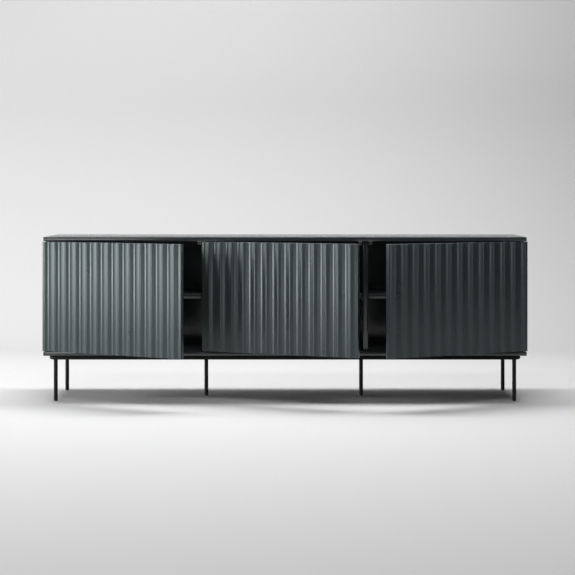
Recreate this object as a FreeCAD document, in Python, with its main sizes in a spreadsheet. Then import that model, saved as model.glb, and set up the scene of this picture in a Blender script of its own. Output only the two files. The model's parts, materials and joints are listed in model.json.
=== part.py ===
import FreeCAD
import Part
import Sketcher
import math
import os
import re

# Sideboard buffet: a lacquered carcass with three fluted doors on a tubular steel stand.
# Millimetres. +X to the right, -Y to the front, +Z up. The origin is on the floor,
# under the middle of the carcass. The doors stand part open.

SIZES = {
    # whole object
    "overall_width": 2200,
    "overall_depth": 400,
    "overall_height": 750,
    "stand_height": 210,
    # carcass boards
    "top_thickness": 18,
    "bottom_thickness": 18,
    "side_thickness": 22,
    "partition_thickness": 22,
    "partition_from_door_edge": 5,
    "back_thickness": 8,
    "back_lap": 9,
    # shelves and their supports
    "shelf_thickness": 22,
    "shelf_below_middle": 13,
    "shelf_setback": 16,
    "shelf_end_gap": 1.5,
    "shelf_rear_gap": 2,
    "support_inset": 45,
    "support_pin_radius": 2.5,
    "support_pin_length": 8,
    "support_plate": 1.2,
    "support_reach": 8,
    "support_drop": 12,
    "support_width": 12,
    # carcass fasteners
    "dowel_radius": 4,
    "dowel_length": 28,
    "dowel_inset": 40,
    "dowel_in_board": 11,
    "screw_inset": 60,
    "screw_head_radius": 3.4,
    "screw_shank_radius": 1.7,
    "screw_head_height": 2,
    "back_screw_length": 26,
    # doors
    "door_thickness": 28,
    "door_gap": 7,
    "door_end_gap": 3,
    "door_back_gap": 3.5,
    "centre_door_width": 747,
    "flute_count": 13,
    "flute_depth": 6,
    "ridge_radius": 14,
    "free_margin": 34,
    "hinge_margin": 12,
    "front_skin": 2,
    "left_door_angle": 24.9,
    "centre_door_angle": 21.5,
    "right_door_angle": 24.6,
    # door pivots
    "pivot_inset": 8,
    "pivot_depth": 17,
    "pin_radius": 3,
    "pin_socket": 16,
    "pin_reach": 9,
    "collar_radius": 5.5,
    "collar_gap": 0.2,
    "bush_radius": 5,
    "bush_length": 10,
    "bush_clearance": 0.05,
    # push latches and the plates they press on
    "latch_from_partition": 12,
    "latch_width": 14,
    "latch_height": 16,
    "latch_length": 50,
    "latch_setback": 2.5,
    "latch_tail": 22,
    "latch_tail_thickness": 3,
    "latch_screw_length": 14,
    "plunger_radius": 4,
    "plunger_clearance": 0.05,
    "plunger_wall": 2.5,
    "plunger_tip_gap": 0.4,
    "plunger_length": 26,
    "spring_radius": 2.6,
    "spring_wire_radius": 0.4,
    "spring_turns": 8,
    "latch_end_wall": 6,
    "strike_rim": 1,
    "strike_thickness": 1.5,
    "strike_stem_radius": 2,
    "strike_stem_length": 8,
    # stand
    "tube_radius": 9,
    "tube_wall": 1.5,
    "bend_radius": 23,
    "rail_end_inset": 29,
    "rail_front_inset": 33,
    "left_leg_from_partition": 0.5,
    "right_leg_from_partition": 11.5,
    "pad_thickness": 3,
    "pad_length": 50,
    "pad_width": 44,
    "pad_overhang": 4,
    "pad_screw_from_rail": 24,
    "pad_from_partition": 68.5,
    "pad_from_end": 200,
    "pad_screw_radius": 2.4,
    "pad_screw_head_radius": 5,
    "pad_screw_head_height": 3,
    "pad_screw_grip": 12,
    "pad_hole_clearance": 0.3,
    "glide_height": 4,
    "glide_plug_length": 20,
    "glide_clearance": 0.1,
}

PLACES = {
    "half_width": "overall_width / 2",
    "front": "0 - overall_depth / 2",
    "rear": "overall_depth / 2",
    "bay_floor": "stand_height + bottom_thickness",
    "bay_roof": "overall_height - top_thickness",
    "bay_height": "bay_roof - bay_floor",
    "side_inner": "half_width - side_thickness",
    "partition_centre": "centre_door_width / 2 - partition_from_door_edge",
    "partition_inner": "partition_centre - partition_thickness / 2",
    "partition_outer": "partition_centre + partition_thickness / 2",
    "board_front": "front + door_thickness + door_back_gap",
    "back_front": "rear - back_thickness",
    "board_depth": "rear - board_front",
    "inner_depth": "back_front - board_front",
    "shelf_bottom": "(bay_floor + bay_roof) / 2 - shelf_below_middle",
    "shelf_height": "shelf_bottom + shelf_thickness",
    "shelf_front": "board_front + shelf_setback",
    "shelf_depth": "back_front - shelf_rear_gap - shelf_front",
    "door_bottom": "bay_floor + door_end_gap",
    "door_height": "bay_height - 2 * door_end_gap",
    "side_door_width": "half_width - centre_door_width / 2 - door_gap",
    "side_pitch": "(side_door_width - free_margin - hinge_margin) / (flute_count - 1)",
    "centre_pitch": "(centre_door_width - 2 * free_margin) / (flute_count - 1)",
    "pivot_y": "front + pivot_depth",
    "side_pivot_x": "half_width - pivot_inset",
    "centre_pivot_x": "pivot_inset - centre_door_width / 2",
    "door_back": "door_thickness - pivot_depth",
    "plunger_drop": "latch_height - plunger_wall - plunger_radius",
    "strike_radius": "plunger_drop - door_end_gap - strike_rim",
    "latch_front": "board_front + latch_setback",
    "plunger_front": "front + door_thickness + plunger_tip_gap",
    "plunger_rear": "plunger_front + plunger_length",
    "plunger_height": "bay_roof - plunger_drop",
    "side_latch_x": "partition_outer + latch_from_partition",
    "centre_latch_x": "partition_inner - latch_from_partition",
    "spring_length": "latch_front + latch_length - latch_end_wall - plunger_rear",
    "rail_half_length": "half_width - rail_end_inset",
    "rail_half_depth": "overall_depth / 2 - rail_front_inset",
    "leg_half_span": "rail_half_length - bend_radius",
    "left_middle_leg": "partition_centre + left_leg_from_partition",
    "right_middle_leg": "partition_centre - right_leg_from_partition",
    "pad_first": "partition_centre - pad_from_partition",
    "pad_second": "half_width - pad_from_end",
    "rail_height": "stand_height - pad_thickness - tube_radius",
    "bore_radius": "tube_radius - tube_wall",
    "rail_straight": "rail_half_length - bend_radius",
    "end_straight": "rail_half_depth - bend_radius",
}

doc = FreeCAD.newDocument("SideboardBuffet")
nodes = []


# ---- sheets and bindings -------------------------------------------------------------------

SHEET_OF = {name: "Sizes" for name in SIZES}
SHEET_OF.update({name: "Places" for name in PLACES})


def linked(formula):
    """A formula in plain size names, as FreeCAD's expressions write it."""
    return re.sub(
        r"[a-z]\w*",
        lambda word: f"{SHEET_OF[word[0]]}.{word[0]}" if word[0] in SHEET_OF else word[0],
        str(formula),
    )


def fill_sheet(name, cells, prefix):
    """A spreadsheet with one named row for each size or place."""
    sheet = doc.addObject("Spreadsheet::Sheet", name)
    for row, (alias, value) in enumerate(cells.items(), start=1):
        sheet.set(f"A{row}", alias)
        sheet.setAlias(f"B{row}", alias)
        sheet.set(f"B{row}", prefix + (linked(value) if prefix else str(value)))
    return sheet


sizes = fill_sheet("Sizes", SIZES, "")
places = fill_sheet("Places", PLACES, "=")
doc.recompute()


def value(name):
    """The number that a named size or place has in its sheet."""
    sheet = sizes if SHEET_OF[name] == "Sizes" else places
    return float(sheet.get(name))


def bind(item, **formulas):
    """Binds properties of an object to formulas."""
    for name, formula in formulas.items():
        item.setExpression(name, linked(formula))
    return item


def place(item, x, y, z):
    """Binds the three coordinates of an object's placement to formulas."""
    for axis, formula in zip("xyz", (x, y, z)):
        item.setExpression(f"Placement.Base.{axis}", linked(formula))
    return item


def keep(item, node):
    """Names an object as a sub-part, which is written to its own file."""
    item.Label = node
    nodes.append(item)
    return item


# ---- plain shapes --------------------------------------------------------------------------

TURNS = {
    "x": FreeCAD.Rotation(FreeCAD.Vector(0, 1, 0), 90),
    "y": FreeCAD.Rotation(FreeCAD.Vector(1, 0, 0), -90),
    "z": FreeCAD.Rotation(),
    "-z": FreeCAD.Rotation(FreeCAD.Vector(1, 0, 0), 180),
}


def block(name, start, size):
    """A box from its lowest corner and its three lengths, all formulas."""
    box = doc.addObject("Part::Box", name)
    bind(box, Length=size[0], Width=size[1], Height=size[2])
    return place(box, *start)


def rod(name, start, radius, length, along="z"):
    """A cylinder that starts at a point and runs along an axis."""
    cylinder = doc.addObject("Part::Cylinder", name)
    cylinder.Placement.Rotation = TURNS[along]
    bind(cylinder, Radius=radius, Height=length)
    return place(cylinder, *start)


def cone(name, start, radius_1, radius_2, height, along="z"):
    """A cone frustum that starts at a point and runs along an axis."""
    frustum = doc.addObject("Part::Cone", name)
    frustum.Placement.Rotation = TURNS[along]
    bind(frustum, Radius1=radius_1, Radius2=radius_2, Height=height)
    return place(frustum, *start)


def group(name, items):
    """Separate solids kept together in one object."""
    compound = doc.addObject("Part::Compound", name)
    compound.Links = items
    return compound


def joined(name, items):
    """Several shapes joined into one solid."""
    fusion = doc.addObject("Part::MultiFuse", name)
    fusion.Shapes = items
    fusion.Refine = True
    return fusion


def less(name, base, tools):
    """A shape with other shapes cut away."""
    cut = doc.addObject("Part::Cut", name)
    cut.Base = base
    cut.Tool = tools[0] if len(tools) == 1 else group(name + "_cutters", tools)
    return cut


# ---- carcass boards ------------------------------------------------------------------------

UPRIGHTS = {
    # node: left face, thickness, and the middle of the board
    "left_side_panel": ("0 - half_width", "side_thickness", "side_thickness / 2 - half_width"),
    "left_partition": ("0 - partition_outer", "partition_thickness", "0 - partition_centre"),
    "right_partition": ("partition_inner", "partition_thickness", "partition_centre"),
    "right_side_panel": ("side_inner", "side_thickness", "half_width - side_thickness / 2"),
}
DOWEL_ROWS = ("board_front + dowel_inset", "(board_front + back_front) / 2", "back_front - dowel_inset")
DOWEL_ENDS = {
    "top": "bay_roof + dowel_in_board - dowel_length",
    "bottom": "bay_floor - dowel_in_board",
}


def dowel_rods(name, end):
    """One rod for each dowel at the top or the bottom of the uprights."""
    rods = []
    for _, _, middle in UPRIGHTS.values():
        for row in DOWEL_ROWS:
            rods.append(rod(name, (middle, row, DOWEL_ENDS[end]), "dowel_radius", "dowel_length"))
    return rods


def back_screw_spots():
    """Where the back panel's screws go: three in each upright's rear edge."""
    lap_middle = "(side_inner + back_lap / 2)"
    columns = (f"0 - {lap_middle}", "0 - partition_centre", "partition_centre", lap_middle)
    heights = ("bay_floor + screw_inset", "shelf_height - screw_inset", "bay_roof - screw_inset")
    return [(column, height) for column in columns for height in heights]


def back_screw_shanks(name):
    """The round shanks of the back panel's screws, head side at the rear."""
    start = "rear - back_screw_length"
    length = "back_screw_length - screw_head_height"
    return [rod(name, (x, start, z), "screw_shank_radius", length, "y") for x, z in back_screw_spots()]


def back_screw_heads(name):
    """The countersunk heads of the back panel's screws, flush with its rear face."""
    start = "rear - screw_head_height"
    sizes_of_head = ("screw_shank_radius", "screw_head_radius", "screw_head_height")
    return [cone(name, (x, start, z), *sizes_of_head, "y") for x, z in back_screw_spots()]


DOOR_PIVOTS = {
    "left": "0 - side_pivot_x",
    "centre": "centre_pivot_x",
    "right": "side_pivot_x",
}
LATCHES = {
    "left": "0 - side_latch_x",
    "centre": "centre_latch_x",
    "right": "side_latch_x",
}
LATCH_SCREW_ROWS = ("latch_front + latch_length + 6", "latch_front + latch_length + 16")


def bush_holes(start_z):
    """The round sockets that the door bushes are pressed into."""
    return [
        rod("bush_hole", (x, "pivot_y", start_z), "bush_radius", "bush_length")
        for x in DOOR_PIVOTS.values()
    ]


def latch_screw_shanks(name):
    """The shanks of the screws that hold the latches to the top panel."""
    start = "bay_roof - latch_tail_thickness + screw_head_height"
    length = "latch_screw_length - screw_head_height"
    return [
        rod(name, (x, row, start), "screw_shank_radius", length)
        for x in LATCHES.values()
        for row in LATCH_SCREW_ROWS
    ]


def latch_screw_heads(name):
    """The countersunk heads of the latch screws, flush with the latch tail's lower face."""
    start = "bay_roof - latch_tail_thickness"
    sizes_of_head = ("screw_head_radius", "screw_shank_radius", "screw_head_height")
    return [
        cone(name, (x, row, start), *sizes_of_head)
        for x in LATCHES.values()
        for row in LATCH_SCREW_ROWS
    ]


PAD_SPOTS = [
    (f"{side} * {row}", end)
    for end in (-1, 1)
    for side in (-1, 1)
    for row in ("pad_first", "pad_second")
]


def pad_screw_y(end):
    """The line of the stand's screws, inside the front rail (-1) or the rear rail (1)."""
    return f"{end} * (rail_half_depth - pad_screw_from_rail)"


def pad_screw_shanks(name, radius):
    """Rods up through the mounting pads into the bottom panel."""
    start = "stand_height - pad_thickness"
    length = "pad_thickness + pad_screw_grip"
    return [rod(name, (x, pad_screw_y(end), start), radius, length) for x, end in PAD_SPOTS]


def make_uprights():
    """The two side panels and the two partitions."""
    for node, (left, thickness, _) in UPRIGHTS.items():
        outer = node.endswith("side_panel")
        depth = "board_depth" if outer else "inner_depth"
        blank = block(node + "_blank", (left, "board_front", "bay_floor"), (thickness, depth, "bay_height"))
        tools = dowel_rods("dowel_hole", "top") + dowel_rods("dowel_hole", "bottom")
        tools += back_screw_shanks("screw_hole")
        if outer:
            lap = "0 - side_inner - back_lap" if node.startswith("left") else "side_inner"
            start = (lap, "back_front", "bay_floor - 1")
            tools.append(block("back_rebate", start, ("back_lap", "back_thickness + 1", "bay_height + 2")))
        for side in support_sides():
            if side[0] == node:
                tools += support_holes(side)
        keep(less(node + "_board", blank, tools), node)


def make_top_and_bottom():
    """The full-width boards, rebated at the rear for the back panel."""
    rebate_length = "2 * side_inner + 2 * back_lap"
    corner = ("0 - half_width", "front")
    spread = ("overall_width", "overall_depth")
    top = block("top_blank", (*corner, "bay_roof"), (*spread, "top_thickness"))
    start = ("0 - side_inner - back_lap", "back_front", "bay_roof - 1")
    top_rebate = block("top_rebate", start, (rebate_length, "back_thickness + 1", "back_lap + 1"))
    tools = [top_rebate] + dowel_rods("dowel_hole", "top") + bush_holes("bay_roof")
    keep(less("top_board", top, tools + latch_screw_shanks("screw_hole")), "top_panel")

    bottom = block("bottom_blank", (*corner, "stand_height"), (*spread, "bottom_thickness"))
    start = ("0 - side_inner - back_lap", "back_front", "bay_floor - back_lap")
    bottom_rebate = block("bottom_rebate", start, (rebate_length, "back_thickness + 1", "back_lap + 1"))
    tools = [bottom_rebate] + dowel_rods("dowel_hole", "bottom") + bush_holes("bay_floor - bush_length")
    tools += pad_screw_shanks("screw_hole", "pad_screw_radius")
    keep(less("bottom_board", bottom, tools), "bottom_panel")


def make_back():
    """The back panel, screwed into the rebates, with its screws and the carcass dowels."""
    start = ("0 - side_inner - back_lap", "back_front", "bay_floor - back_lap")
    size = ("2 * side_inner + 2 * back_lap", "back_thickness", "bay_height + 2 * back_lap")
    holes = back_screw_shanks("screw_hole") + back_screw_heads("head_seat")
    keep(less("back_board", block("back_blank", start, size), holes), "back_panel")

    shanks = back_screw_shanks("shank")
    heads = back_screw_heads("head")
    screws = [joined("back_screw", pair) for pair in zip(shanks, heads)]
    keep(group("back_screw_set", screws), "back_panel_screws")
    for end in DOWEL_ENDS:
        keep(group(end + "_dowel_set", dowel_rods("dowel", end)), end + "_dowels")


# ---- shelves -------------------------------------------------------------------------------

BAYS = {
    # bay: left node and face, right node and face
    "left": ("left_side_panel", "0 - side_inner", "left_partition", "0 - partition_outer"),
    "centre": ("left_partition", "0 - partition_inner", "right_partition", "partition_inner"),
    "right": ("right_partition", "partition_outer", "right_side_panel", "side_inner"),
}
SUPPORT_ROWS = ("shelf_front + support_inset", "back_front - support_inset")


def support_sides():
    """Every board face that carries shelf supports: board, face, way into the bay, bay."""
    sides = []
    for bay, (left_node, left_face, right_node, right_face) in BAYS.items():
        sides.append((left_node, left_face, 1, bay))
        sides.append((right_node, right_face, -1, bay))
    return sides


def support_pins(side, name):
    """The two round pins that hold a shelf's supports in one board face."""
    _, face, way, _ = side
    start = f"{face} - support_pin_length" if way > 0 else face
    height = "shelf_bottom - support_drop / 2"
    return [
        rod(name, (start, row, height), "support_pin_radius", "support_pin_length", "x")
        for row in SUPPORT_ROWS
    ]


def support_holes(side):
    """The holes that take the pins of one board face."""
    return support_pins(side, "support_hole")


def make_supports(bay):
    """Angle supports under one shelf: a pin, a plate against the board and a ledge."""
    supports = []
    for side in support_sides():
        _, face, way, side_bay = side
        if side_bay != bay:
            continue
        for pin, row in zip(support_pins(side, "support_pin"), SUPPORT_ROWS):
            y = f"{row} - support_width / 2"
            plate_x = face if way > 0 else f"{face} - support_plate"
            ledge_x = face if way > 0 else f"{face} - support_reach"
            plate_start = (plate_x, y, "shelf_bottom - support_drop")
            plate = block("plate", plate_start, ("support_plate", "support_width", "support_drop"))
            ledge_start = (ledge_x, y, "shelf_bottom - support_plate")
            ledge = block("ledge", ledge_start, ("support_reach", "support_width", "support_plate"))
            supports.append(joined("support", [pin, plate, ledge]))
    keep(group(bay + "_support_set", supports), bay + "_shelf_supports")


def make_shelves():
    """One loose shelf in each bay, resting on four supports."""
    for bay, (_, left, _, right) in BAYS.items():
        start = (f"{left} + shelf_end_gap", "shelf_front", "shelf_bottom")
        size = (f"({right}) - ({left}) - 2 * shelf_end_gap", "shelf_depth", "shelf_thickness")
        keep(block(bay + "_shelf_board", start, size), bay + "_shelf")
        make_supports(bay)


# ---- doors ---------------------------------------------------------------------------------

DOORS = {
    # door: width, flute pitch, hinge side margin, way from hinge to free edge, angle
    "left": ("side_door_width", "side_pitch", "hinge_margin", 1, "left_door_angle"),
    "centre": ("centre_door_width", "centre_pitch", "free_margin", 1, "centre_door_angle"),
    "right": ("side_door_width", "side_pitch", "hinge_margin", -1, "right_door_angle"),
}


def origin_feature(body, role):
    """One of a body's own origin planes or axes."""
    return [item for item in body.Origin.OriginFeatures if item.Role == role][0]


def sketch_on(body, role, name):
    """A sketch on one of the body's own origin planes."""
    sketch = body.newObject("Sketcher::SketchObject", name)
    sketch.AttachmentSupport = [(origin_feature(body, role), "")]
    sketch.MapMode = "FlatFace"
    return sketch


def close_loop(sketch, count):
    """Joins each edge's end to the next edge's start, all the way round."""
    for edge in range(count):
        sketch.addConstraint(Sketcher.Constraint("Coincident", edge, 2, (edge + 1) % count, 1))


def hold(sketch, kind, geometry, formula, name, number):
    """A named dimension of a sketch, bound to a formula."""
    sketch.addConstraint(Sketcher.Constraint(kind, *geometry, number))
    sketch.renameConstraint(sketch.ConstraintCount - 1, name)
    sketch.setExpression(f"Constraints.{name}", linked(formula))


def door_slab(body, width, way):
    """The door's blank: a rectangle in plan, padded to the door's height."""
    hinge = -way * value("pivot_inset")
    free = hinge + way * value(width)
    front = -value("pivot_depth") - value("front_skin")
    back = value("door_back")
    corners = [(hinge, front), (free, front), (free, back), (hinge, back)]
    points = [FreeCAD.Vector(x, y, 0) for x, y in corners]
    sketch = sketch_on(body, "XY_Plane", body.Name + "_plan")
    for start, end in zip(points, points[1:] + points[:1]):
        sketch.addGeometry(Part.LineSegment(start, end))
    close_loop(sketch, len(points))
    for edge, kind in enumerate(("Horizontal", "Vertical", "Horizontal", "Vertical")):
        sketch.addConstraint(Sketcher.Constraint(kind, edge))
    hold(sketch, "DistanceX", (-1, 1, 0, 1), f"{-way} * pivot_inset", "hinge_edge", hinge)
    free_edge = f"{way} * ({width} - pivot_inset)"
    hold(sketch, "DistanceX", (-1, 1, 0, 2), free_edge, "free_edge", free)
    hold(sketch, "DistanceY", (-1, 1, 0, 1), "0 - pivot_depth - front_skin", "front_face", front)
    hold(sketch, "DistanceY", (-1, 1, 2, 1), "door_back", "back_face", back)
    slab = body.newObject("PartDesign::Pad", body.Name + "_slab")
    slab.Profile = sketch
    bind(slab, Length="door_height")
    return slab


def flute_plan(body, pitch, margin, way):
    """What one flute takes away, seen from above.

    It runs from one ridge's middle to the next. A round ridge turns into the wide hollow and
    back into the next round ridge, with no corner between them.
    """
    width = value(pitch)
    ridge = value("ridge_radius")
    depth = value("flute_depth")
    half = width / 2
    hollow = half * half / (2 * depth) + depth / 2 - ridge
    lean = math.asin(half / (hollow + ridge))
    middle = way * (value(margin) - value("pivot_inset") - half)
    crest = -value("pivot_depth")
    outside = crest - value("front_skin") - 1
    up = math.pi / 2

    def ridge_arc(x, start, end):
        circle = Part.Circle(FreeCAD.Vector(x, crest + ridge, 0), FreeCAD.Vector(0, 0, 1), ridge)
        return Part.ArcOfCircle(circle, start, end)

    centre = FreeCAD.Vector(middle, crest + depth - hollow, 0)
    hollow_circle = Part.Circle(centre, FreeCAD.Vector(0, 0, 1), hollow)
    left = FreeCAD.Vector(middle - half, outside, 0)
    right = FreeCAD.Vector(middle + half, outside, 0)
    left_crest = FreeCAD.Vector(middle - half, crest, 0)
    right_crest = FreeCAD.Vector(middle + half, crest, 0)
    sketch = sketch_on(body, "XY_Plane", body.Name + "_flute_plan")
    sketch.addGeometry(Part.LineSegment(left, right))
    sketch.addGeometry(Part.LineSegment(right, right_crest))
    sketch.addGeometry(ridge_arc(middle + half, -up - lean, -up))
    sketch.addGeometry(Part.ArcOfCircle(hollow_circle, up - lean, up + lean))
    sketch.addGeometry(ridge_arc(middle - half, -up, -up + lean))
    sketch.addGeometry(Part.LineSegment(left_crest, left))
    for first, first_end, second, second_end in (
        (0, 2, 1, 1), (1, 2, 2, 2), (2, 1, 3, 1), (3, 2, 4, 2), (4, 1, 5, 1), (5, 2, 0, 1),
    ):
        sketch.addConstraint(Sketcher.Constraint("Coincident", first, first_end, second, second_end))
    hold(sketch, "Radius", (2,), "ridge_radius", "right_ridge", ridge)
    hold(sketch, "Radius", (4,), "ridge_radius", "left_ridge", ridge)
    hold(sketch, "DistanceX", (0, 1, 0, 2), pitch, "flute_width", width)
    return sketch


def cut_flutes(body, slab, pitch, margin, way):
    """One flute cut through the slab and repeated across the door's front."""
    flute = body.newObject("PartDesign::Pocket", body.Name + "_flute")
    flute.Profile = flute_plan(body, pitch, margin, way)
    flute.Type = "ThroughAll"
    flute.Reversed = True
    doc.recompute()
    if flute.Shape.Volume >= slab.Shape.Volume:
        raise RuntimeError(f"{body.Name}: the flute cuts nothing")
    flutes = body.newObject("PartDesign::LinearPattern", body.Name + "_flutes")
    flutes.Originals = [flute]
    flutes.Direction = (origin_feature(body, "X_Axis"), [""])
    flutes.Reversed = way < 0
    bind(flutes, Length=f"flute_count * {pitch}", Occurrences="flute_count + 1")
    body.Tip = flutes


def drill(body, name, start, radius, depth, along):
    """A round hole taken out of a body."""
    hole = body.newObject("PartDesign::SubtractiveCylinder", f"{body.Name}_{name}")
    hole.Placement.Rotation = TURNS[along]
    bind(hole, Radius=radius, Height=depth)
    place(hole, *start)
    body.Tip = hole


def strike_x(door):
    """Where a closed door meets its latch, measured from the door's pivot."""
    return f"({LATCHES[door]}) - ({DOOR_PIVOTS[door]})"


STRIKE_HEIGHT = "plunger_height - door_bottom"


def hang(item, door, height="door_bottom"):
    """Stands a piece at the door's pivot and turns it by the angle that the door is open."""
    _, _, _, way, angle = DOORS[door]
    item.Placement.Rotation = FreeCAD.Rotation(FreeCAD.Vector(0, 0, -way), value(angle))
    item.setExpression("Placement.Rotation.Angle", linked(angle))
    return place(item, DOOR_PIVOTS[door], "pivot_y", height)


def make_door(door):
    """A fluted door, drawn from its pivot, with its pivot sockets and its strike's seat."""
    width, pitch, margin, way, _ = DOORS[door]
    body = doc.addObject("PartDesign::Body", door + "_door_body")
    slab = door_slab(body, width, way)
    doc.recompute()
    cut_flutes(body, slab, pitch, margin, way)
    drill(body, "lower_socket", ("0", "0", "0"), "pin_radius", "pin_socket", "z")
    drill(body, "upper_socket", ("0", "0", "door_height - pin_socket"), "pin_radius", "pin_socket", "z")
    x = strike_x(door)
    seat_y = "door_back - strike_thickness"
    drill(body, "strike_seat", (x, seat_y, STRIKE_HEIGHT), "strike_radius", "strike_thickness", "y")
    stem_y = "door_back - strike_thickness - strike_stem_length"
    stem = ("strike_stem_radius", "strike_stem_length + strike_thickness")
    drill(body, "stem_hole", (x, stem_y, STRIKE_HEIGHT), *stem, "y")
    keep(hang(body, door), door + "_door")


def make_strike(door):
    """The steel disc and stem that the latch presses on, let into the door's back."""
    x = strike_x(door)
    disc_start = (x, "door_back - strike_thickness", STRIKE_HEIGHT)
    disc = rod("disc", disc_start, "strike_radius", "strike_thickness", "y")
    stem_start = (x, "door_back - strike_thickness - strike_stem_length", STRIKE_HEIGHT)
    stem = rod("stem", stem_start, "strike_stem_radius", "strike_stem_length + strike_thickness / 2", "y")
    keep(hang(joined(door + "_strike", [disc, stem]), door), door + "_strike_plate")


def make_pivots(door):
    """The pins that a door turns on: a shank in the door, a collar and a tip in the bush."""
    ends = {"lower": ("z", "door_bottom"), "upper": ("-z", "door_bottom + door_height")}
    for end, (along, height) in ends.items():
        x, y = DOOR_PIVOTS[door], "pivot_y"
        up = 1 if along == "z" else -1
        start = f"{height} - {up} * (door_end_gap + pin_reach)"
        pin = rod("pin", (x, y, start), "pin_radius", "pin_socket + door_end_gap + pin_reach", along)
        collar_start = f"{height} - {up} * (door_end_gap - collar_gap)"
        collar = rod("collar", (x, y, collar_start), "collar_radius", "door_end_gap - collar_gap", along)
        keep(joined(f"{door}_{end}_pin", [pin, collar]), f"{door}_door_{end}_pivot")


def make_bushes():
    """The flush bushes that the pivots turn in, three in the bottom and three in the top."""
    starts = {"lower": "bay_floor - bush_length", "upper": "bay_roof"}
    for end, start in starts.items():
        bushes = []
        for x in DOOR_PIVOTS.values():
            sleeve = rod("sleeve", (x, "pivot_y", start), "bush_radius", "bush_length")
            bore_start = (x, "pivot_y", f"{start} - 1")
            bore = rod("bore", bore_start, "pin_radius + bush_clearance", "bush_length + 2")
            bushes.append(less("bush", sleeve, [bore]))
        keep(group(end + "_bush_set", bushes), end + "_pivot_bushes")


# ---- push latches --------------------------------------------------------------------------


def make_latch(door):
    """A latch under the top panel: a bored housing with a tail, its plunger and its spring."""
    x = LATCHES[door]
    half = "latch_width / 2"
    bottom = "bay_roof - latch_height"
    body_start = (f"{x} - {half}", "latch_front", bottom)
    case = block("case", body_start, ("latch_width", "latch_length", "latch_height"))
    tail_start = (f"{x} - {half}", "latch_front + latch_length - 1", "bay_roof - latch_tail_thickness")
    tail = block("tail", tail_start, ("latch_width", "latch_tail + 1", "latch_tail_thickness"))
    bore_start = (x, "latch_front - 1", "plunger_height")
    bore_length = "latch_length - latch_end_wall + 1"
    bore = rod("bore", bore_start, "plunger_radius + plunger_clearance", bore_length, "y")
    holes = latch_screw_shanks("screw_hole") + latch_screw_heads("head_seat")
    housing = less(door + "_latch_case", joined("case_and_tail", [case, tail]), [bore] + holes)
    keep(housing, door + "_latch_housing")

    plunger = rod(
        door + "_latch_rod", (x, "plunger_front", "plunger_height"), "plunger_radius", "plunger_length", "y"
    )
    keep(plunger, door + "_latch_plunger")
    make_spring(door)


def make_spring(door):
    """The coil between the plunger's rear end and the end of the housing's bore."""
    wire_radius = value("spring_wire_radius")
    coil_length = value("spring_length") - 2 * wire_radius
    radius = value("spring_radius")
    helix = Part.makeHelix(coil_length / value("spring_turns"), coil_length, radius)
    section = Part.Wire(Part.makeCircle(wire_radius, FreeCAD.Vector(radius, 0, 0), FreeCAD.Vector(0, 1, 0)))
    coil = Part.Wire(helix).makePipeShell([section], True, True)
    spring = doc.addObject("Part::Feature", door + "_latch_coil")
    spring.Shape = coil
    spring.Placement.Rotation = TURNS["y"]
    place(spring, LATCHES[door], "plunger_rear + spring_wire_radius", "plunger_height")
    keep(spring, door + "_latch_spring")


def make_latch_screws():
    """The six countersunk screws that hold the latches up."""
    pairs = zip(latch_screw_shanks("shank"), latch_screw_heads("head"))
    keep(group("latch_screw_set", [joined("latch_screw", pair) for pair in pairs]), "latch_screws")


# ---- stand ---------------------------------------------------------------------------------


def straight_bar(name, end, radius):
    """A front (-1) or rear (1) bar of the stand's ring, between its bends."""
    start = ("0 - rail_straight", f"{end} * rail_half_depth", "rail_height")
    return rod(name, start, radius, "2 * rail_straight", "x")


def end_pieces(name, side, radius):
    """An end (-1 left, 1 right) of the ring: a straight length, and a quarter bend at each end."""
    x = f"{side} * rail_half_length"
    pieces = [rod(name, (x, "0 - end_straight", "rail_height"), radius, "2 * end_straight", "y")]
    for end in (-1, 1):
        bend = doc.addObject("Part::Torus", name)
        bend.Angle3 = 90
        turn = {(1, 1): 0, (-1, 1): 90, (-1, -1): 180, (1, -1): 270}[(side, end)]
        bend.Placement.Rotation = FreeCAD.Rotation(FreeCAD.Vector(0, 0, 1), turn)
        bind(bend, Radius1="bend_radius", Radius2=radius)
        place(bend, f"{side} * rail_straight", f"{end} * end_straight", "rail_height")
        pieces.append(bend)
    return pieces


def ring_bars():
    """The whole ring as solid bars, which the legs and cross rails are shaped to meet."""
    bars = [straight_bar("ring_bar", end, "tube_radius") for end in (-1, 1)]
    ends = [end_pieces("ring_end", side, "tube_radius") for side in (-1, 1)]
    return bars + [joined("ring_end_bar", pieces) for pieces in ends]


MIDDLE_LEGS = {
    "left": "0 - left_middle_leg",
    "right": "right_middle_leg",
}


def cross_bar(name, side, radius):
    """A bar from the front rail's centre line to the rear rail's."""
    start = (MIDDLE_LEGS[side], "0 - rail_half_depth", "rail_height")
    return rod(name, start, radius, "2 * rail_half_depth", "y")


def make_rails():
    """The four tubes of the ring and the two cross rails between front and rear."""
    for node, end in (("front_rail", -1), ("rear_rail", 1)):
        bore = straight_bar("bore", end, "bore_radius")
        keep(less(node + "_tube", straight_bar("bar", end, "tube_radius"), [bore]), node)
    for node, side in (("left_end_rail", -1), ("right_end_rail", 1)):
        bars = end_pieces("bar", side, "tube_radius")
        bores = end_pieces("bore", side, "bore_radius")
        shells = [less("shell", bar, [bore]) for bar, bore in zip(bars, bores)]
        keep(joined(node + "_tube", shells), node)
    for side in MIDDLE_LEGS:
        tools = [cross_bar("bore", side, "bore_radius")] + ring_bars()
        keep(less(side + "_cross_tube", cross_bar("bar", side, "tube_radius"), tools), side + "_cross_rail")


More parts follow.
